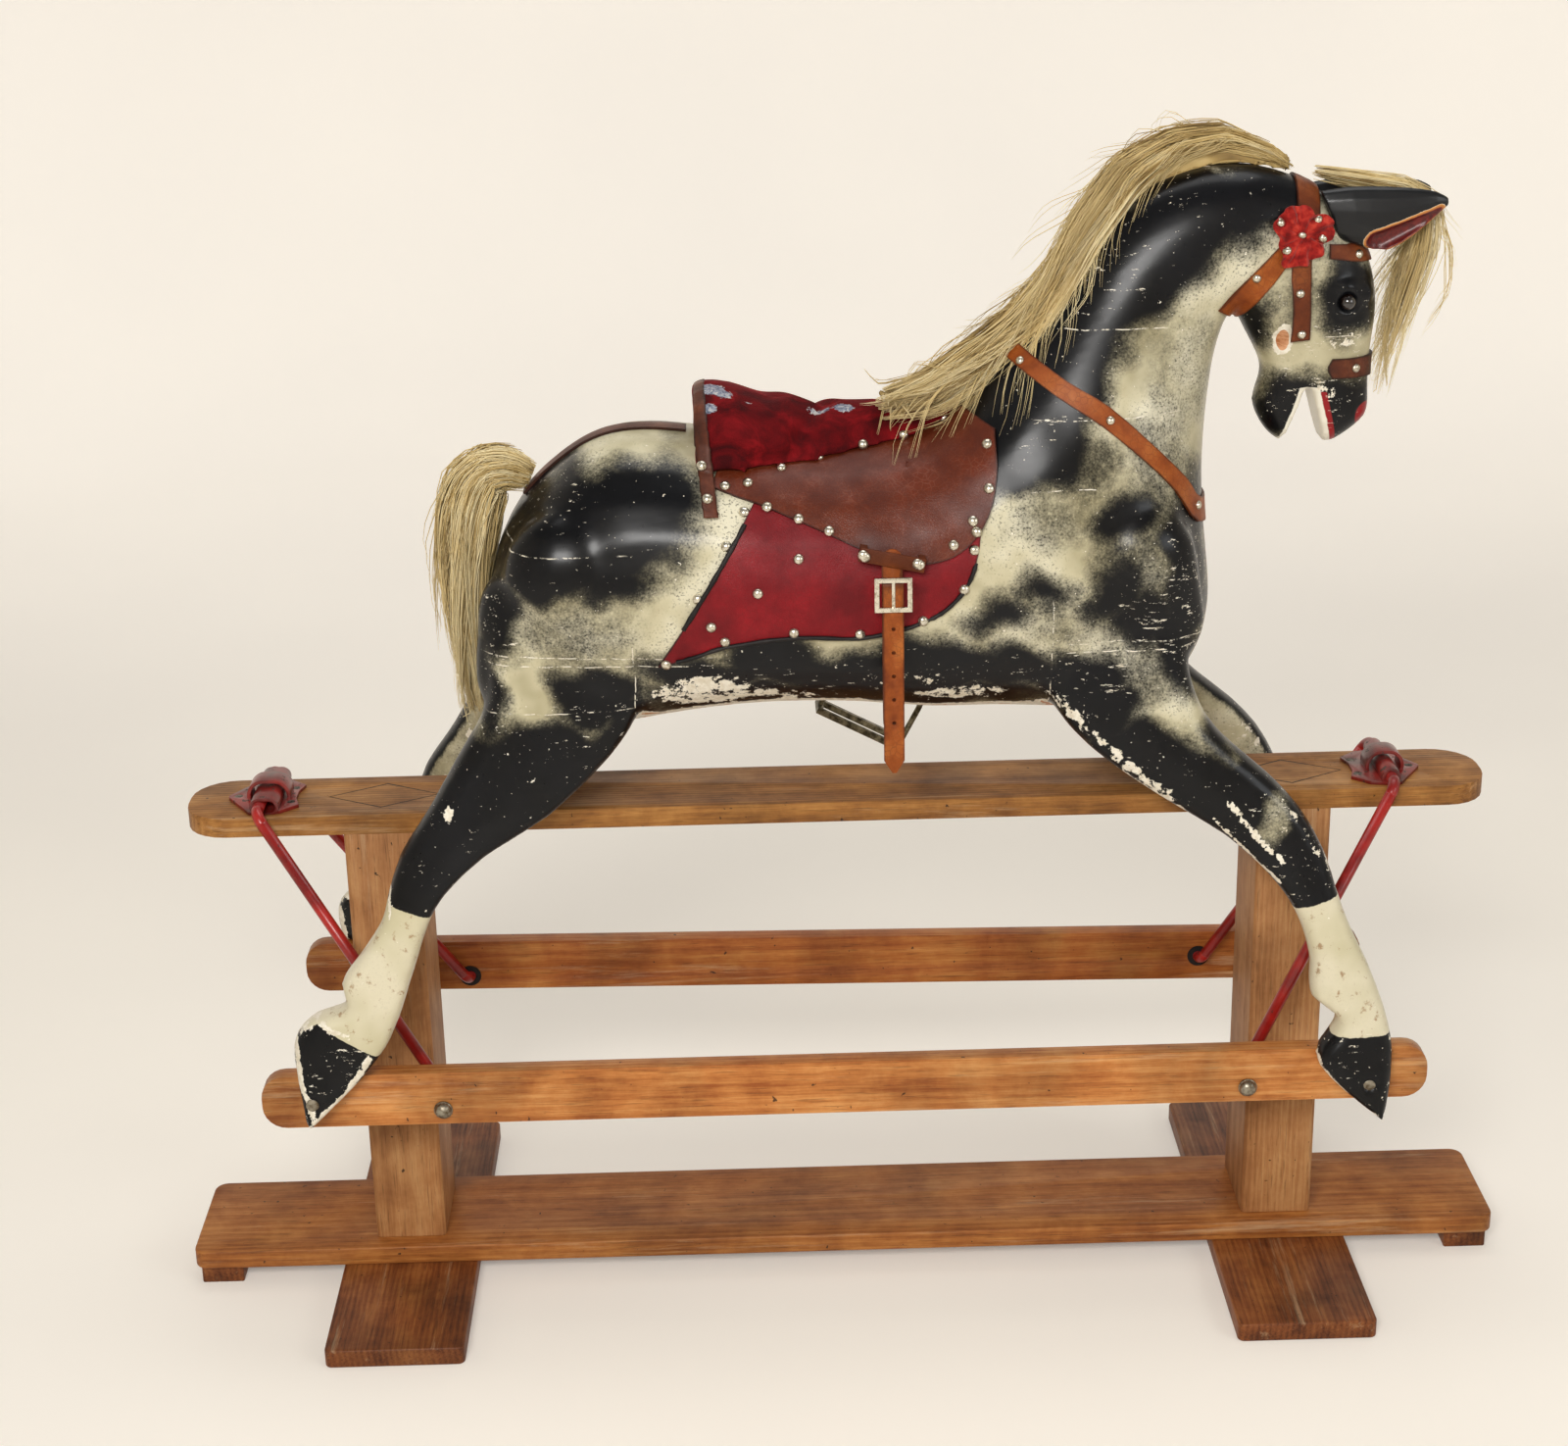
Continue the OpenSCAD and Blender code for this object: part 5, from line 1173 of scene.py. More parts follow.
flap_low = [(-118, 886), (-66, 867), (-36, 855), (-7, 843), (21, 831), (52, 820), (83, 815), (115, 823),
            (139, 845), (152, 872), (157, 903)]
flap_high = [(-118, 890), (-112, 906), (-60, 906), (-11, 912), (52, 920), (97, 935), (130, 944), (157, 934)]
flap_stations = (list(np.arange(-118, 100, 9.0)) + list(np.arange(100, 145, 5.0))
                 + [147.0, 151.0, 154.0, 157.0])
cloth_low = [(-176, 716), (-140, 727), (-106, 738), (-43, 746), (20, 744), (66, 753), (100, 767),
             (123, 790), (136, 822), (140, 858)]
cloth_high = [(-176, 717), (-126, 795), (-78, 874), (-60, 889), (0, 890), (100, 890), (130, 876),
              (140, 860)]
cloth_stations = list(np.arange(-176, 100, 9.0)) + list(np.arange(100, 136, 4.0)) + [137.0, 139.0, 140.0]
for place_name, side in (("near", -1), ("far", 1)):
    leather_piece("flap_" + place_name, "saddle_flap_" + place_name, "saddle_leather", flap_leather,
                  *patch_levels(flap_low, flap_high, flap_stations),
                  lift=lambda p: 0.4 + 2.8 * ramp(p[:, 0], -100, -70), thick=2.4, side=side,
                  shape=dimples(FLAP_STUDS, 0.5))
    cloth = leather_piece("cloth_" + place_name, "saddle_cloth_" + place_name, "red_leather", red_leather,
                          *patch_levels(cloth_low, cloth_high, cloth_stations), lift=0.4, thick=1.8,
                          side=side, shape=dimples(CLOTH_STUDS, 0.3))

# %% [markdown]
# Straps are narrow, and each goes round the neck, the chest or the head in one plane or a gently bent
# band. The ladder method serves them as well: two edges, a few rungs, and the cut goes through both sides
# of the horse at once.

# %% Harness straps
breast_high = curve_through([(160, 1024), (182, 1008), (225, 979), (265, 955), (311, 912), (343, 877),
                             (362, 850), (400, 836)], 3)
breast_low = curve_through([(150, 1006), (172, 994), (215, 965), (257, 938), (300, 901), (331, 868),
                            (358, 829), (400, 812)], 3)
leather_piece("breast_band", "breast_strap", "tan_leather", strap_leather, breast_high, breast_low, 0.4)
leather_piece("head_band", "headpiece", "tan_leather", bridle_leather, [(452, 1200), (446, 1112)],
              [(474, 1200), (469, 1112)], 0.4)
leather_piece("brow_band", "browband", "tan_leather", bridle_leather,
              [(480, 1097), (512, 1093), (545, 1090)],
              [(480, 1083), (512, 1077), (545, 1074)], 0.4, thick=2.2)
leather_piece("nose_band", "noseband", "tan_leather", dark_leather, [(486, 975), (490, 983), (545, 984)],
              [(486, 971), (490, 964), (545, 962)], 0.4)
leather_piece("throat_band", "throat_strap", "tan_leather", strap_leather, [(431, 1098), (374, 1036)],
              [(444, 1086), (398, 1020)], 0.4)
for place_name, side in (("near", -1), ("far", 1)):
    leather_piece("cheek_band_" + place_name, "cheek_strap_" + place_name, "tan_leather", bridle_leather,
                  [(443, 1084), (447, 1004)], [(461, 1084), (465, 1006)], 3.1, side=side)
leather_piece("crupper_band", "crupper_strap", "tan_leather", dark_leather, [(-306, 820), (-144, 820)],
              [(-306, 1000), (-144, 1000)], 0.4, half_width=11)
print("straps made")

# %% [markdown]
# ## Velvet seat
# The seat is a pad of wool waste under crimson velvet, nailed along its lower edge. It is blown up a
# little as real stuffing does it: the cloth simulation presses outwards from inside a copy of the pad.
# Points near the nails and the saddle's edge hardly move, and no point may go further than a few
# millimetres. Then the folds of slack velvet are laid in, across the seat, where the rider sat.

# %% Fill and fold the seat
PUFF_FRAMES = 20
PUFF_CAP_MM = 6.0
SEAT_VOXEL_MM = 4.6
skin_tree = BVHTree.FromObject(horse, bpy.context.evaluated_depsgraph_get())


def height_over_skin(places):
    heights = []
    for place in places:
        spot, normal, _, _ = skin_tree.find_nearest(Vector(place) * MM)
        heights.append((Vector(place) * MM - spot).dot(normal) / MM)
    return np.array(heights)


def puff(piece, cap):
    """Blows the piece up from inside with the cloth simulation, by cap millimetres at most."""
    before = points_of(piece.data)
    cloth = piece.modifiers.new("Cloth", "CLOTH")
    cloth.settings.quality = 5
    cloth.settings.mass = 0.3
    cloth.settings.use_pressure = True
    cloth.settings.uniform_pressure_force = 4.0
    cloth.settings.effector_weights.gravity = 0.0
    cloth.point_cache.frame_start = 1
    cloth.point_cache.frame_end = PUFF_FRAMES
    for number in range(1, PUFF_FRAMES + 1):
        scene.frame_set(number)
    apply_modifiers(piece)
    scene.frame_set(1)
    moved = points_of(piece.data) - before
    reach = np.linalg.norm(moved, axis=1)
    moved *= np.minimum(1.0, cap * MM / np.maximum(reach, 1e-9))[:, None]
    move_points(piece.data, before + moved)


seat = new_piece("seat_velvet", merged_copy("seat_pad"), "horse", "velvet", "seat_pad")
remesh(seat, SEAT_VOXEL_MM * MM)
smooth(seat, 8)
started = points_of(seat.data)
outer_side = ramp(height_over_skin(started / MM), 4.0, 14.0)
puff(seat, PUFF_CAP_MM)
swollen = points_of(seat.data)
move_points(seat.data, started + (swollen - started) * outer_side[:, None])
more = seat.modifiers.new("Subdivision", "SUBSURF")
more.levels = more.render_levels = 1
apply_modifiers(seat)
at = points_of(seat.data) / MM
face_way = points_of(seat.data, "normal")
open_top = ramp(height_over_skin(at), 5.0, 16.0)
slant = at[:, 0] + 0.5 * np.abs(at[:, 1])
folds = -5.5 * np.exp(-((slant + 4) / 9.0) ** 2) - 4.0 * np.exp(-((slant - 62) / 8.0) ** 2)
folds += 3.0 * np.exp(-((slant - 32) / 13.0) ** 2) + 2.5 * np.exp(-((slant + 42) / 16.0) ** 2)
folds += 1.3 * np.sin(slant / 6.5 + 1.4 * np.sin(at[:, 2] / 15.0)) * ramp(at[:, 0], -100, -40)
folds += 1.0 * np.sin(at[:, 2] / 4.6 + at[:, 0] / 17.0) * ramp(np.abs(at[:, 1]), 30, 60)
move_points(seat.data, (at + face_way * (folds * open_top)[:, None]) * MM)
at = points_of(seat.data) / MM
frays = [  # middle and radius of each torn place
    ((-118, -20, 968), 20), ((-122, -52, 955), 13), ((-104, -30, 966), 15), ((-78, -34, 957), 9),
    ((-12, -20, 945), 15), ((12, -18, 944), 13), ((2, -56, 920), 8), ((-120, 30, 962), 18),
    ((40, 12, 941), 9), ((-60, 46, 944), 9)]
fray = np.zeros(len(at))
for centre, radius in frays:
    away = np.linalg.norm((at - np.array(centre)) * (0.8, 1.0, 1.4), axis=1)
    fray = np.maximum(fray, ramp(away, radius, 0.3 * radius))
store(seat.data, "fray", fray)
shade(seat)
print("seat faces:", len(seat.data.polygons))

# %% [markdown]
# Velvet is a short upright pile. It looks dark where one looks into it and bright where it leans, so it
# gets a strong sheen and a cloud of brighter, brushed areas. Where the pile has worn away, grey-blue
# wool and torn threads show.

# %% Velvet


def velvet():
    material, tree, shader = new_material("seat_velvet_crimson_woven", Roughness=0.9, Sheen_Weight=0.18,
                                          Sheen_Roughness=0.35, Specular_IOR_Level=0.15)
    shader.inputs["Sheen Tint"].default_value = paint("D8505A")
    place = add(tree, "TexCoord").outputs["Object"]
    brushed = add(tree, "TexNoise", {"Vector": place, "Scale": 34.0, "Detail": 5.0, "Roughness": 0.6,
                                     "Distortion": 0.8}).outputs["Fac"]
    tone = add(tree, "ValToRGB", {"Fac": brushed}, [(0.34, paint("380205")), (0.52, paint("5C0409")),
                                                    (0.7, paint("800D14"))]).outputs["Color"]
    pile = add(tree, "TexNoise", {"Vector": place, "Scale": 600.0, "Detail": 2.0}).outputs["Fac"]
    torn = add(tree, "TexNoise", {"Vector": place, "Scale": 130.0, "Detail": 5.0, "Roughness": 0.75,
                                  "Distortion": 1.5}).outputs["Fac"]
    worn = add(tree, "Attribute", attribute_name="fray").outputs["Fac"]
    worn = add(tree, "Math", {0: worn, 1: 0.62, 2: torn}, operation="MULTIPLY_ADD").outputs[0]
    hole = add(tree, "MapRange", {"Value": worn, "From Min": 0.80, "From Max": 0.86}).outputs[0]
    wool = add(tree, "ValToRGB", {"Fac": torn}, [(0.36, paint("3E4452")), (0.5, paint("7C8496")),
                                                 (0.62, paint("C4C0BC"))]).outputs["Color"]
    tone = add(tree, "Mix", {0: hole, 6: tone, 7: wool}, data_type="RGBA").outputs[2]
    tree.links.new(tone, shader.inputs["Base Color"])
    relief = add(tree, "Math", {0: hole, 1: -2.5, 2: pile}, operation="MULTIPLY_ADD").outputs[0]
    relief = add(tree, "Math", {0: brushed, 1: 3.0, 2: relief}, operation="MULTIPLY_ADD").outputs[0]
    bump = add(tree, "Bump", {"Strength": 0.6, "Distance": 0.7 * MM, "Height": relief})
    tree.links.new(bump.outputs["Normal"], shader.inputs["Normal"])
    return material


give(velvet(), seat)
print("seat in crimson velvet")

# %% [markdown]
# ## Cantle strap, stirrup leathers and buckles
# The stirrup leathers, their loops and the buckles have the right shapes in the solids already. They
# only need eased edges and a finish. The strap over the cantle is remeshed to take its facets away.

# %% Straps that follow their solids


def with_rim(piece, distance):
    """Stores each point's distance to the strap's edge, from a formula for its place."""
    store(piece.data, "rim_mm", distance(points_of(piece.data) / MM))


cantle = new_piece("cantle_band", merged_copy("cantle_strap"), "horse", "tan_leather", "cantle_strap")
remesh(cantle, 1.5 * MM)
smooth(cantle, 10)
shade(cantle)
with_rim(cantle, lambda p: 7.5 - np.abs(p[:, 0] + 120 + 0.118 * (p[:, 2] - 864)))
give(dark_leather, cantle)
for place_name, body in (("near", "leather_near"), ("far", "leather_far")):
    strap = dress("stirrup_leather_" + place_name, body, "tan_leather", strap_leather, 0.5, 2)
    with_rim(strap, lambda p: 10.0 - np.abs(p[:, 0] - 52))
    dress("buckle_" + place_name, body, "nickel", nickel, 0.7, 2)
    hanger = dress("stirrup_hanger_" + place_name, "horse", "tan_leather", strap_leather, 1.2, 3)
    with_rim(hanger, lambda p: 7.0 - np.abs(p[:, 2] - 826 + 0.21 * (p[:, 0] - 52)))
print("cantle faces:", len(cantle.data.polygons))

# %% [markdown]
# ## Ears and eyes
# The ears are carved apart and glued on. They are black outside, bare wood along the rim and dark red
# inside. The eyes are glass domes, nearly black, and their shine is what makes them look alive.

# %% Ears


def ear_paint():
    material, tree, shader = new_material("ear_pine_painted", IOR=1.45, Coat_Weight=0.25,
                                          Coat_Roughness=0.2, Roughness=0.42, Specular_IOR_Level=0.3)
    place = add(tree, "TexCoord").outputs["Object"]
    inner = add(tree, "Attribute", attribute_name="inner").outputs["Fac"]
    chips = add(tree, "TexNoise", {"Vector": place, "Scale": 190.0, "Detail": 5.0,
                                   "Roughness": 0.7}).outputs["Fac"]
    chips_part = add(tree, "Math", {0: chips, 1: 0.38}, operation="MULTIPLY").outputs[0]
    level = add(tree, "Math", {0: inner, 1: 0.78, 2: chips_part}, operation="MULTIPLY_ADD").outputs[0]
    tone = add(tree, "ValToRGB", {"Fac": level}, [(0.0, paint("0C0D10")), (0.3, paint("0C0D10")),
                                                  (0.34, paint("E6DAC0")), (0.4, paint("C98A4A")),
                                                  (0.8, paint("B06C34")), (0.9, paint("6E1A16")),
                                                  (1.0, paint("460E0E"))])
    tree.links.new(tone.outputs["Color"], shader.inputs["Base Color"])
    bump = add(tree, "Bump", {"Strength": 0.3, "Distance": 0.4 * MM, "Height": chips})
    tree.links.new(bump.outputs["Normal"], shader.inputs["Normal"])
    return material


ear_finish = ear_paint()
for place_name, side in (("near", -1), ("far", 1)):
    ear = new_piece("ear_carved_" + place_name, merged_copy("ear_" + place_name), "horse", "ear_paint",
                    "ear_" + place_name)
    remesh(ear, 1.3 * MM)
    smooth(ear, 5)
    shade(ear)
    at = points_of(ear.data) / MM
    start, stop = np.array([528, side * 40, 1096.0]), np.array([580, side * 41, 1122.0])
    run = stop - start
    share = np.clip(((at - start) @ run) / (run @ run), 0, 1.12)
    away = np.linalg.norm(at - start - share[:, None] * run, axis=1) - (12 - 7 * np.minimum(share, 1.0))
    store(ear.data, "inner", ramp(away, 4.5, -0.5))
    give(ear_finish, ear)
glass, glass_tree, glass_shader = new_material("eye_glass_dark", Roughness=0.06, IOR=1.5, Coat_Weight=1.0,
                                               Coat_Roughness=0.03)
eye_place = add(glass_tree, "TexCoord").outputs["Object"]
iris = add(glass_tree, "TexNoise", {"Vector": eye_place, "Scale": 500.0, "Detail": 3.0}).outputs["Fac"]
iris = add(glass_tree, "ValToRGB", {"Fac": iris}, [(0.4, paint("060403")), (0.7, paint("24120A"))])
glass_tree.links.new(iris.outputs["Color"], glass_shader.inputs["Base Color"])
eyeballs = new_piece("eye_domes", merged_copy("eyes"), "horse", "eye_glass", "eyes")
shade(eyeballs)
give(glass, eyeballs)
print("ears and eyes done")

# %% [markdown]
# ## Mane, forelock and tail
# Real horsehair hangs in locks. Each lock here is a thin tapered strand, and each strand is a curve
# with a few points, so that a curve's bevel gives it its thickness and a radius per point its taper.
# Strands run along the solid's own path, spread over its width, and each wanders a little. Where one
# would enter the horse, it is pushed out to lie on the wood. Beneath them lies a bed, a smoothed copy
# of the solid, so that no gap shows.

# %% Hair helpers
chance = np.random.default_rng(7)


def path_at(path, share):
    """Middle, half height and half width of the path at a share, from 0 to 1, of its points."""
    places = np.array(path, float)
    index = np.clip(share, 0, 1) * (len(path) - 1)
    return np.stack([np.interp(index, range(len(path)), places[:, column]) for column in range(5)], -1)


def keep_out(points, room):
    """Pushes points that are in the wood, or nearer to it than room, out to that distance."""
    kept = []
    for p in points:
        spot, normal, _, _ = skin_tree.find_nearest(Vector(p) * MM)
        gap = (Vector(p) * MM - spot).dot(normal) / MM
        kept.append(p if gap > room else np.array(spot) / MM + np.array(normal) * room)
    return kept


def hair_locks(path, locks, each, start, length, droop, upside, points=10, sway=6.0, room=1.0,
               out=(0.55, 1.02)):
    """Locks of strands that share a root and a sway, and draw together towards their tips."""
    strands = []
    for _ in range(locks):
        around, reach = chance.uniform(0, 2 * math.pi), math.sqrt(chance.uniform(out[0] ** 2, out[1] ** 2))
        begin, run = chance.uniform(*start), chance.uniform(*length)
        rate, phase = chance.uniform(3, 8), chance.uniform(0, 2 * math.pi)
        swing, lean, tone = chance.normal(0, sway), chance.normal(0, sway), chance.uniform(0.1, 0.7)
        fall = np.array([chance.normal(middle, wide) for middle, wide in droop])
        for _ in range(each):
            own = chance.normal(0, 1, 4)
            first = begin + 0.02 * own[0]
            shares = np.clip(first + np.linspace(0, run * (1 + 0.12 * own[1]), points), 0, 1)
            flow = path_at(path, shares)
            ahead = path_at(path, shares + 0.03)[:, :3] - path_at(path, shares - 0.03)[:, :3]
            ahead /= np.linalg.norm(ahead, axis=1)[:, None]
            rise = np.cross(ahead, (0, 1, 0)) * upside
            t = np.linspace(0, 1, points)[:, None]
            gather = 1 - 0.55 * t
            high = math.sin(around) * reach + 0.16 * own[2] * gather
            wide = math.cos(around) * reach + 0.16 * own[3] * gather
            line = flow[:, :3] + rise * high * flow[:, 3:4] + np.array([[0, 1, 0]]) * wide * flow[:, 4:5]
            line = line + rise * np.sin(t * rate + phase) * swing * t
            line = line + np.array([[0, 1, 0]]) * np.cos(t * rate * 0.8 + phase) * lean * t + fall * t ** 2
            strands.append((keep_out(line, room), tone + 0.07 * own[0], chance.uniform(0.7, 1.2)))
    return strands


def grow_hair(name, node, strands, material, half_mm, shares=1):
    """Makes the strands one mesh, or as many as shares says, with tone and tip stored on each strand."""
    for part in range(shares):
        own = strands[part::shares]
        curve = bpy.data.curves.new(name + "_curve", "CURVE")
        curve.dimensions = "3D"
        curve.bevel_depth = half_mm * MM
        curve.bevel_resolution = 0
        for points, _, thick in own:
            spline = curve.splines.new("POLY")
            spline.points.add(len(points) - 1)
            for target, place, end in zip(spline.points, points, np.linspace(0, 1, len(points))):
                target.co = (*(np.array(place) * MM), 1.0)
                target.radius = thick * (1.0 - 0.85 * end ** 2.5) * (0.45 + 0.55 * min(1.0, end * 6))
        holder = bpy.data.objects.new(name + "_holder", curve)
        scene.collection.objects.link(holder)
        mesh = bpy.data.meshes.new_from_object(holder.evaluated_get(bpy.context.evaluated_depsgraph_get()))
        bpy.data.objects.remove(holder)
        sizes = [len(points) for points, _, _ in own]
        ring = len(mesh.vertices) // sum(sizes)
        tones = [np.full(n * ring, tone) for n, (_, tone, _) in zip(sizes, own)]
        store(mesh, "strand_tone", np.concatenate(tones))
        store(mesh, "strand_tip", np.concatenate([np.repeat(np.linspace(0, 1, n), ring) for n in sizes]))
        piece = new_piece(name + "_" + str(part + 1), mesh, "horse", "hair", node)
        shade(piece)
        give(material, piece)


def hair_finish():
    material, tree, shader = new_material("horsehair_blond_undyed", Roughness=0.5, IOR=1.5,
                                          Specular_IOR_Level=0.3)
    tone = add(tree, "Attribute", attribute_name="strand_tone").outputs["Fac"]
    tip = add(tree, "Attribute", attribute_name="strand_tip").outputs["Fac"]
    place = add(tree, "TexCoord").outputs["Object"]
    cloud = add(tree, "TexNoise", {"Vector": place, "Scale": 24.0, "Detail": 3.0}).outputs["Fac"]
    value = add(tree, "Math", {0: cloud, 1: 0.5, 2: tone}, operation="MULTIPLY_ADD").outputs[0]
    colour = add(tree, "ValToRGB", {"Fac": value}, [(0.2, paint("6A5432")), (0.42, paint("AC9058")),
                                                    (0.65, paint("D2B980")), (1.0, paint("EBDDB4"))])
    ends = add(tree, "MapRange", {"Value": tip, "From Min": 0.4, "To Max": 0.4}).outputs[0]
    colour = add(tree, "Mix", {0: ends, 6: colour.outputs["Color"], 7: paint("E6D6A8")},
                 data_type="RGBA").outputs[2]
    tree.links.new(colour, shader.inputs["Base Color"])
    return material


def hair_bed(name, node, shrink_mm, narrow=1.0, aside_mm=0.0):
    """Smoothed, ridged and shrunk copy of the solid, which fills the middle of the hair."""
    piece = new_piece(name, merged_copy(node), "horse", "hair", node)
    remesh(piece, 3.0 * MM)
    smooth(piece, 12)
    at, way = points_of(piece.data) / MM, points_of(piece.data, "normal")
    ridges = 1.2 * np.sin(at[:, 1] * 0.9 + at[:, 0] * 0.05) + 0.8 * np.sin(at[:, 1] * 2.1 + at[:, 2] * 0.08)
    at = at + way * (ridges - shrink_mm)[:, None]
    at[:, 1] = at[:, 1] * narrow + aside_mm
    move_points(piece.data, at * MM)
    store(piece.data, "strand_tone", 0.18 + 0.14 * np.sin(at[:, 1] * 1.7))
    shade(piece)
    give(blond, piece)


blond = hair_finish()
print("hair helpers ready")

# %% Mane, tail and forelock
# Each path's points are a middle, then a half height and a half width. Lock counts, starts and lengths
# are shares of the path, and the pairs after them are the fall of a lock's tip and its spread.
MANE = [(450, 2, 1164, 3, 5), (425, 4, 1180, 7, 10), (383, 7, 1194, 12, 14), (337, 8, 1187, 16, 17),
        (293, 6, 1158, 22, 19), (255, 2, 1108, 23, 22), (223, -3, 1056, 22, 24), (190, -9, 1018, 22, 27),
        (149, -13, 985, 22, 27), (104, -14, 956, 20, 22), (60, -12, 946, 14, 14)]
FORELOCK = [(470, 0, 1160, 6, 11), (511, 0, 1152, 8, 12), (554, 0, 1143, 10, 13), (582, 0, 1124, 13, 13),
            (581, 0, 1086, 19, 15), (568, 0, 1042, 21, 16), (557, 0, 1002, 17, 14), (551, 0, 972, 11, 11),
            (549, 0, 950, 6, 7)]
TAIL = [(-300, 0, 876, 13, 12), (-322, 0, 886, 18, 18), (-342, 0, 884, 21, 22), (-353, 0, 868, 26, 25),
        (-361, 0, 842, 27, 27), (-366, 0, 800, 24, 28), (-368, 0, 748, 18, 26), (-367, 0, 700, 14, 20),
        (-366, 0, 662, 9, 14), (-363, 0, 636, 5, 8)]
hair_bed("mane_bed", "mane", 5.0, narrow=0.5, aside_mm=8.0)
mane = hair_locks(MANE, 150, 18, (0.0, 0.78), (0.24, 0.5), ((0, 8), (-6, 8), (-4, 8)), -1.0, room=1.2)
mane += hair_locks(MANE, 34, 8, (0.3, 0.86), (0.16, 0.3), ((6, 14), (-30, 14), (-34, 18)), -1.0,
                   sway=9.0, room=1.2)
mane += hair_locks(MANE, 40, 4, (0.1, 0.85), (0.12, 0.3), ((-14, 12), (0, 14), (8, 12)), -1.0,
                   sway=12.0, out=(0.9, 1.2))
grow_hair("mane_hair", "mane", mane, blond, 0.55, shares=2)
hair_bed("tail_bed", "tail", 4.0)
tail = hair_locks(TAIL, 90, 18, (0.0, 0.14), (0.6, 1.0), ((-2, 5), (0, 5), (-2, 6)), 1.0, points=13)
tail += hair_locks(TAIL, 20, 6, (0.1, 0.4), (0.3, 0.5), ((-6, 10), (0, 8), (0, 8)), 1.0, sway=10.0,
                   out=(0.9, 1.15))
grow_hair("tail_hair", "tail", tail, blond, 0.6, shares=2)
forelock = hair_locks(FORELOCK, 34, 15, (0.0, 0.12), (0.5, 0.9), ((-6, 6), (0, 6), (-2, 8)), -1.0,
                      points=13, sway=7.0, out=(0.2, 1.0))
forelock += hair_locks(FORELOCK, 16, 7, (0.05, 0.3), (0.3, 0.5), ((2, 10), (0, 9), (0, 10)), -1.0,
                       points=12, sway=11.0, out=(0.7, 1.1))
grow_hair("forelock_hair", "forelock", forelock, blond, 0.5)
print("strands:", len(mane) + len(tail) + len(forelock))

# %% [markdown]
# ## Piping and rosettes
# The cloth's edge is bound with black cord, nailed on and torn off in places. A curve through a few
# points on the cloth's surface carries it. The rosette under each ear is a red ribbon, gathered and
# crushed: a short line spun to a disc, then pleated by waves that grow towards its rim.

# %% Piping


def on_side(sx, sz, side, trees, lift_mm):
    """Outermost place that a ray from the side meets, lifted along the surface normal."""
    hits = [tree.ray_cast(Vector((sx, side * 400, sz)) * MM, Vector((0, -side, 0))) for tree in trees]
    hits = [hit for hit in hits if hit[0] is not None]
    spot, normal = min(hits, key=lambda hit: hit[3])[:2]
    return spot + normal * lift_mm * MM, normal


def cord_along(name, stops, side, trees, half_mm, material, slot):
    """A cord on the surface along stops in the side view, a little thicker and thinner along its way."""
    curve = bpy.data.curves.new(name + "_curve", "CURVE")
    curve.dimensions = "3D"
    curve.bevel_depth = half_mm * MM
    curve.bevel_resolution = 2
    curve.use_fill_caps = True
    places = curve_through(stops, 8)
    spline = curve.splines.new("POLY")
    spline.points.add(len(places) - 1)
    for index, (target, (sx, sz)) in enumerate(zip(spline.points, places)):
        spot, _ = on_side(sx, sz, side, trees, 0.4 * half_mm)
        target.co = (*spot, 1.0)
        target.radius = 1.0 + 0.18 * math.sin(index * 1.3) * math.sin(index * 0.37)
    holder = bpy.data.objects.new(name + "_holder", curve)
    scene.collection.objects.link(holder)
    mesh = bpy.data.meshes.new_from_object(holder.evaluated_get(bpy.context.evaluated_depsgraph_get()))
    bpy.data.objects.remove(holder)
    piece = new_piece(name, mesh, "horse", slot)
    store(piece.data, "rim_mm", np.full(len(mesh.vertices), 9.0))
    shade(piece)
    give(material, piece)


def tree_of(*names):
    depsgraph = bpy.context.evaluated_depsgraph_get()
    return [BVHTree.FromObject(bpy.data.objects[name], depsgraph) for name in names]


REAR_EDGE = [(-88, 856), (-106, 827), (-126, 795), (-150, 757)]
LOW_EDGE = [(-158, 722), (-140, 727), (-106, 738), (-43, 746), (20, 744), (66, 753), (100, 767),
            (123, 790), (134, 815)]
for place_name, side in (("near", -1), ("far", 1)):
    trees = tree_of("horse_carving", "cloth_" + place_name)
    cord_along("piping_rear_" + place_name, REAR_EDGE, side, trees, 2.4, piping_leather, "saddle_leather")
    cord_along("piping_low_" + place_name, LOW_EDGE, side, trees, 2.2, piping_leather, "saddle_leather")
print("piping laid")

# %% Rosettes


def ribbon_finish():
    material, tree, shader = new_material("rosette_ribbon_red_cotton", Roughness=0.8, Sheen_Weight=0.2,
                                          Sheen_Roughness=0.4, Specular_IOR_Level=0.2)
    place = add(tree, "TexCoord").outputs["Object"]
    cloud = add(tree, "TexNoise", {"Vector": place, "Scale": 120.0, "Detail": 4.0}).outputs["Fac"]
    tone = add(tree, "ValToRGB", {"Fac": cloud}, [(0.35, paint("6E0E0C")), (0.52, paint("9A1E18")),
                                                  (0.68, paint("BC3A2C"))])
    tree.links.new(tone.outputs["Color"], shader.inputs["Base Color"])
    # A weave of half a millimetre is too fine to show, so its threads are drawn a millimetre wide.
    weave = add(tree, "TexWave", {"Vector": place, "Scale": 320.0, "Distortion": 2.0},
                bands_direction="DIAGONAL").outputs["Fac"]
    bump = add(tree, "Bump", {"Strength": 0.4, "Distance": 0.3 * MM, "Height": weave})
    tree.links.new(bump.outputs["Normal"], shader.inputs["Normal"])
    return material


ROSETTE_MM = 28.5
ROSETTE_AT = (451, 1107)
SPOKE_POINTS, SPOKES = 14, 96
under_rosettes = tree_of("horse_carving", "head_band")


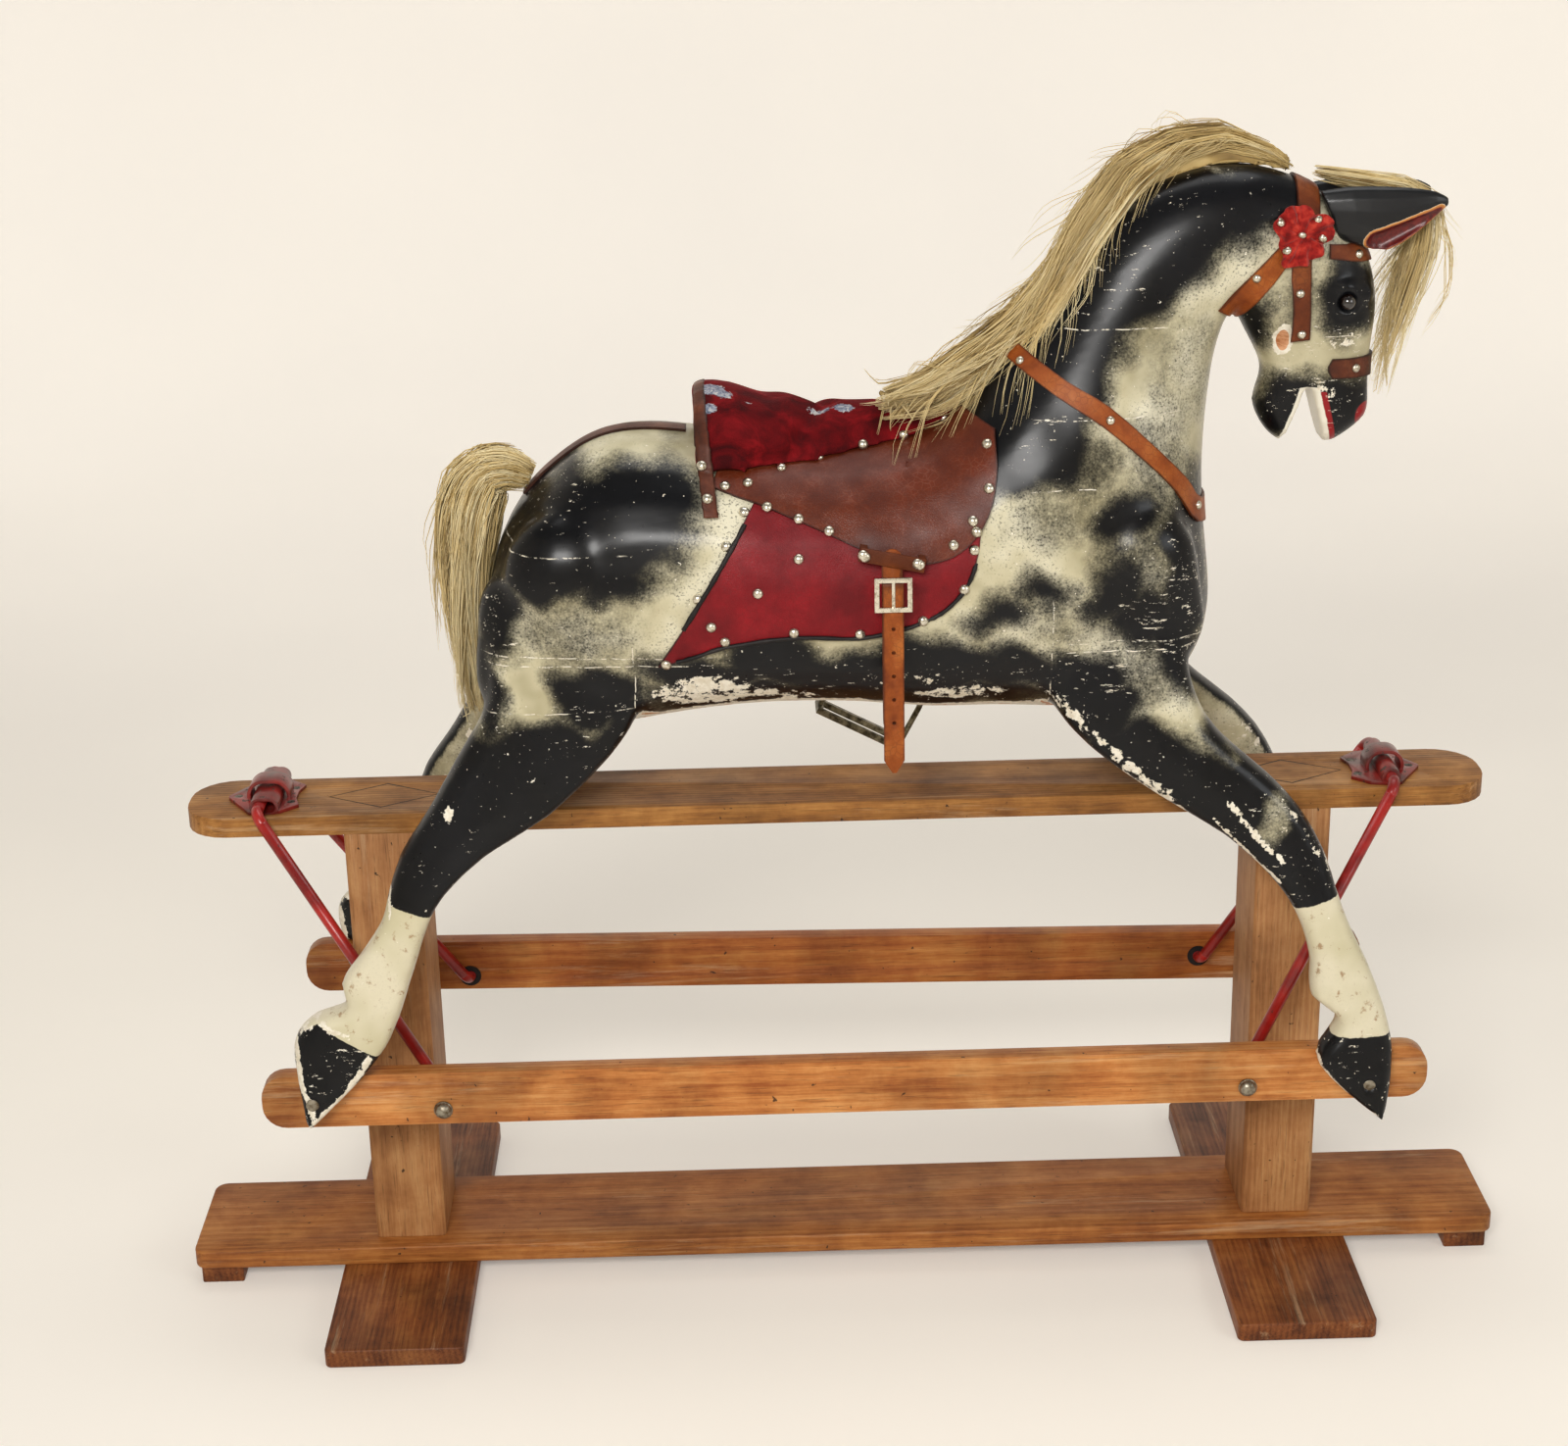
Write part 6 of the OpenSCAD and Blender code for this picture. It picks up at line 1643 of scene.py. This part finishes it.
def rosette(name, node, side, material):
    bm = bmesh.new()
    line = [bm.verts.new((r * MM, 0, 0)) for r in np.linspace(1.0, ROSETTE_MM, SPOKE_POINTS)]
    spokes = [bm.edges.new(pair) for pair in zip(line, line[1:])]
    bmesh.ops.spin(bm, geom=line + spokes, cent=(0, 0, 0), axis=(0, 0, 1), angle=2 * math.pi, steps=SPOKES,
                   use_merge=True, use_duplicate=False)
    rim = [e for e in bm.edges if e.is_boundary and e.calc_length() < 0.3 * MM]
    bmesh.ops.contextual_create(bm, geom=rim)
    for vert in bm.verts:
        r, a = math.hypot(vert.co.x, vert.co.y) / MM, math.atan2(vert.co.y, vert.co.x)
        grow = (r / ROSETTE_MM) ** 1.3
        high = 3.2 * grow * math.sin(9 * a + 1.2 * math.sin(2 * a) + 0.12 * r)
        high += 1.6 * grow * math.sin(17 * a + 2.0 * math.sin(3 * a)) + 1.1 * math.sin(r / 2.4 + 3 * a)
        wide = 1 + grow * (0.12 * math.sin(3 * a + 1) + 0.07 * math.sin(5 * a) + 0.06 * math.sin(9 * a + 2))
        vert.co = Vector((vert.co.x * wide, vert.co.y * wide, (5.2 + high) * MM))
    bmesh.ops.recalc_face_normals(bm, faces=bm.faces)
    spot, normal = on_side(*ROSETTE_AT, side, under_rosettes, 0.0)
    stand = Matrix.Translation(spot) @ normal.to_track_quat("Z", "Y").to_matrix().to_4x4()
    bmesh.ops.transform(bm, matrix=stand, verts=bm.verts)
    piece = new_piece(name, mesh_from(bm, name + "_mesh"), "horse", "ribbon", node)
    cloth = piece.modifiers.new("Solidify", "SOLIDIFY")
    cloth.thickness = 0.6 * MM
    cloth.offset = 0.0
    apply_modifiers(piece)
    shade(piece, 60.0)
    give(material, piece)


ribbon = ribbon_finish()
for place_name, side in (("near", -1), ("far", 1)):
    rosette("rosette_gathered_" + place_name, "rosette_" + place_name, side, ribbon)
print("rosettes made")

# %% [markdown]
# ## Studs
# Dome-headed nails hold all the leather. One dome is a cut ball with a few faces. It is copied to each
# place, stood on the first surface that a ray from the side meets there, and all the copies of one size
# become one piece, as they share a finish. The places are the same on both sides.

# %% Set the studs
HANGER_STUDS, CANTLE_STUDS = [(26, 830), (78, 821)], [(-123, 881), (-128, 907)]
BRIDLE_STUDS = [(511, 1085), (410, 1067), (452, 1052), (456, 1011), (514, 973), (182, 995), (265, 944),
                (359, 846), (451, 1108), (430, 1121), (467, 1122), (471, 1104), (436, 1095)]
tack_trees = tree_of("horse_carving", "flap_near", "flap_far", "cloth_near", "cloth_far", "breast_band",
                     "head_band", "brow_band", "nose_band", "throat_band", "cheek_band_near",
                     "cheek_band_far", "cantle_band", "seat_velvet", "stirrup_hanger_near_dressed",
                     "stirrup_hanger_far_dressed", "rosette_gathered_near", "rosette_gathered_far")


def dome(radius_mm, height_mm):
    """A ball cut off a little below its middle, so that its rim sinks into the leather."""
    bm = bmesh.new()
    bmesh.ops.create_uvsphere(bm, u_segments=12, v_segments=8, radius=1.0)
    geometry = bm.verts[:] + bm.edges[:] + bm.faces[:]
    bmesh.ops.bisect_plane(bm, geom=geometry, plane_co=(0, 0, -0.3), plane_no=(0, 0, -1), clear_outer=True)
    bmesh.ops.scale(bm, vec=(radius_mm * MM, radius_mm * MM, height_mm * MM), verts=bm.verts)
    return mesh_from(bm, "dome")


def set_studs(name, places, radius_mm, height_mm):
    head = dome(radius_mm, height_mm)
    bm = bmesh.new()
    for spot, normal in places:
        before = len(bm.verts)
        bm.from_mesh(head)
        bm.verts.ensure_lookup_table()
        stand = Matrix.Translation(spot) @ normal.to_track_quat("Z", "Y").to_matrix().to_4x4()
        bmesh.ops.transform(bm, matrix=stand, verts=bm.verts[before:])
    piece = new_piece(name, mesh_from(bm, name + "_mesh"), "horse", "nickel")
    bpy.data.meshes.remove(head)
    shade(piece)
    give(nickel, piece)


saddle_places, bridle_places = [], []
for side in (-1, 1):
    for sx, sz in FLAP_STUDS + CLOTH_STUDS + HANGER_STUDS + CANTLE_STUDS:
        saddle_places.append(on_side(sx, sz, side, tack_trees, 0.0))
    for sx, sz in BRIDLE_STUDS:
        bridle_places.append(on_side(sx, sz, side, tack_trees, 0.0))
set_studs("saddle_studs", saddle_places, radius_mm=5.5, height_mm=4.0)
set_studs("bridle_studs", bridle_places, radius_mm=4.6, height_mm=3.4)
print("studs:", len(saddle_places) + len(bridle_places))
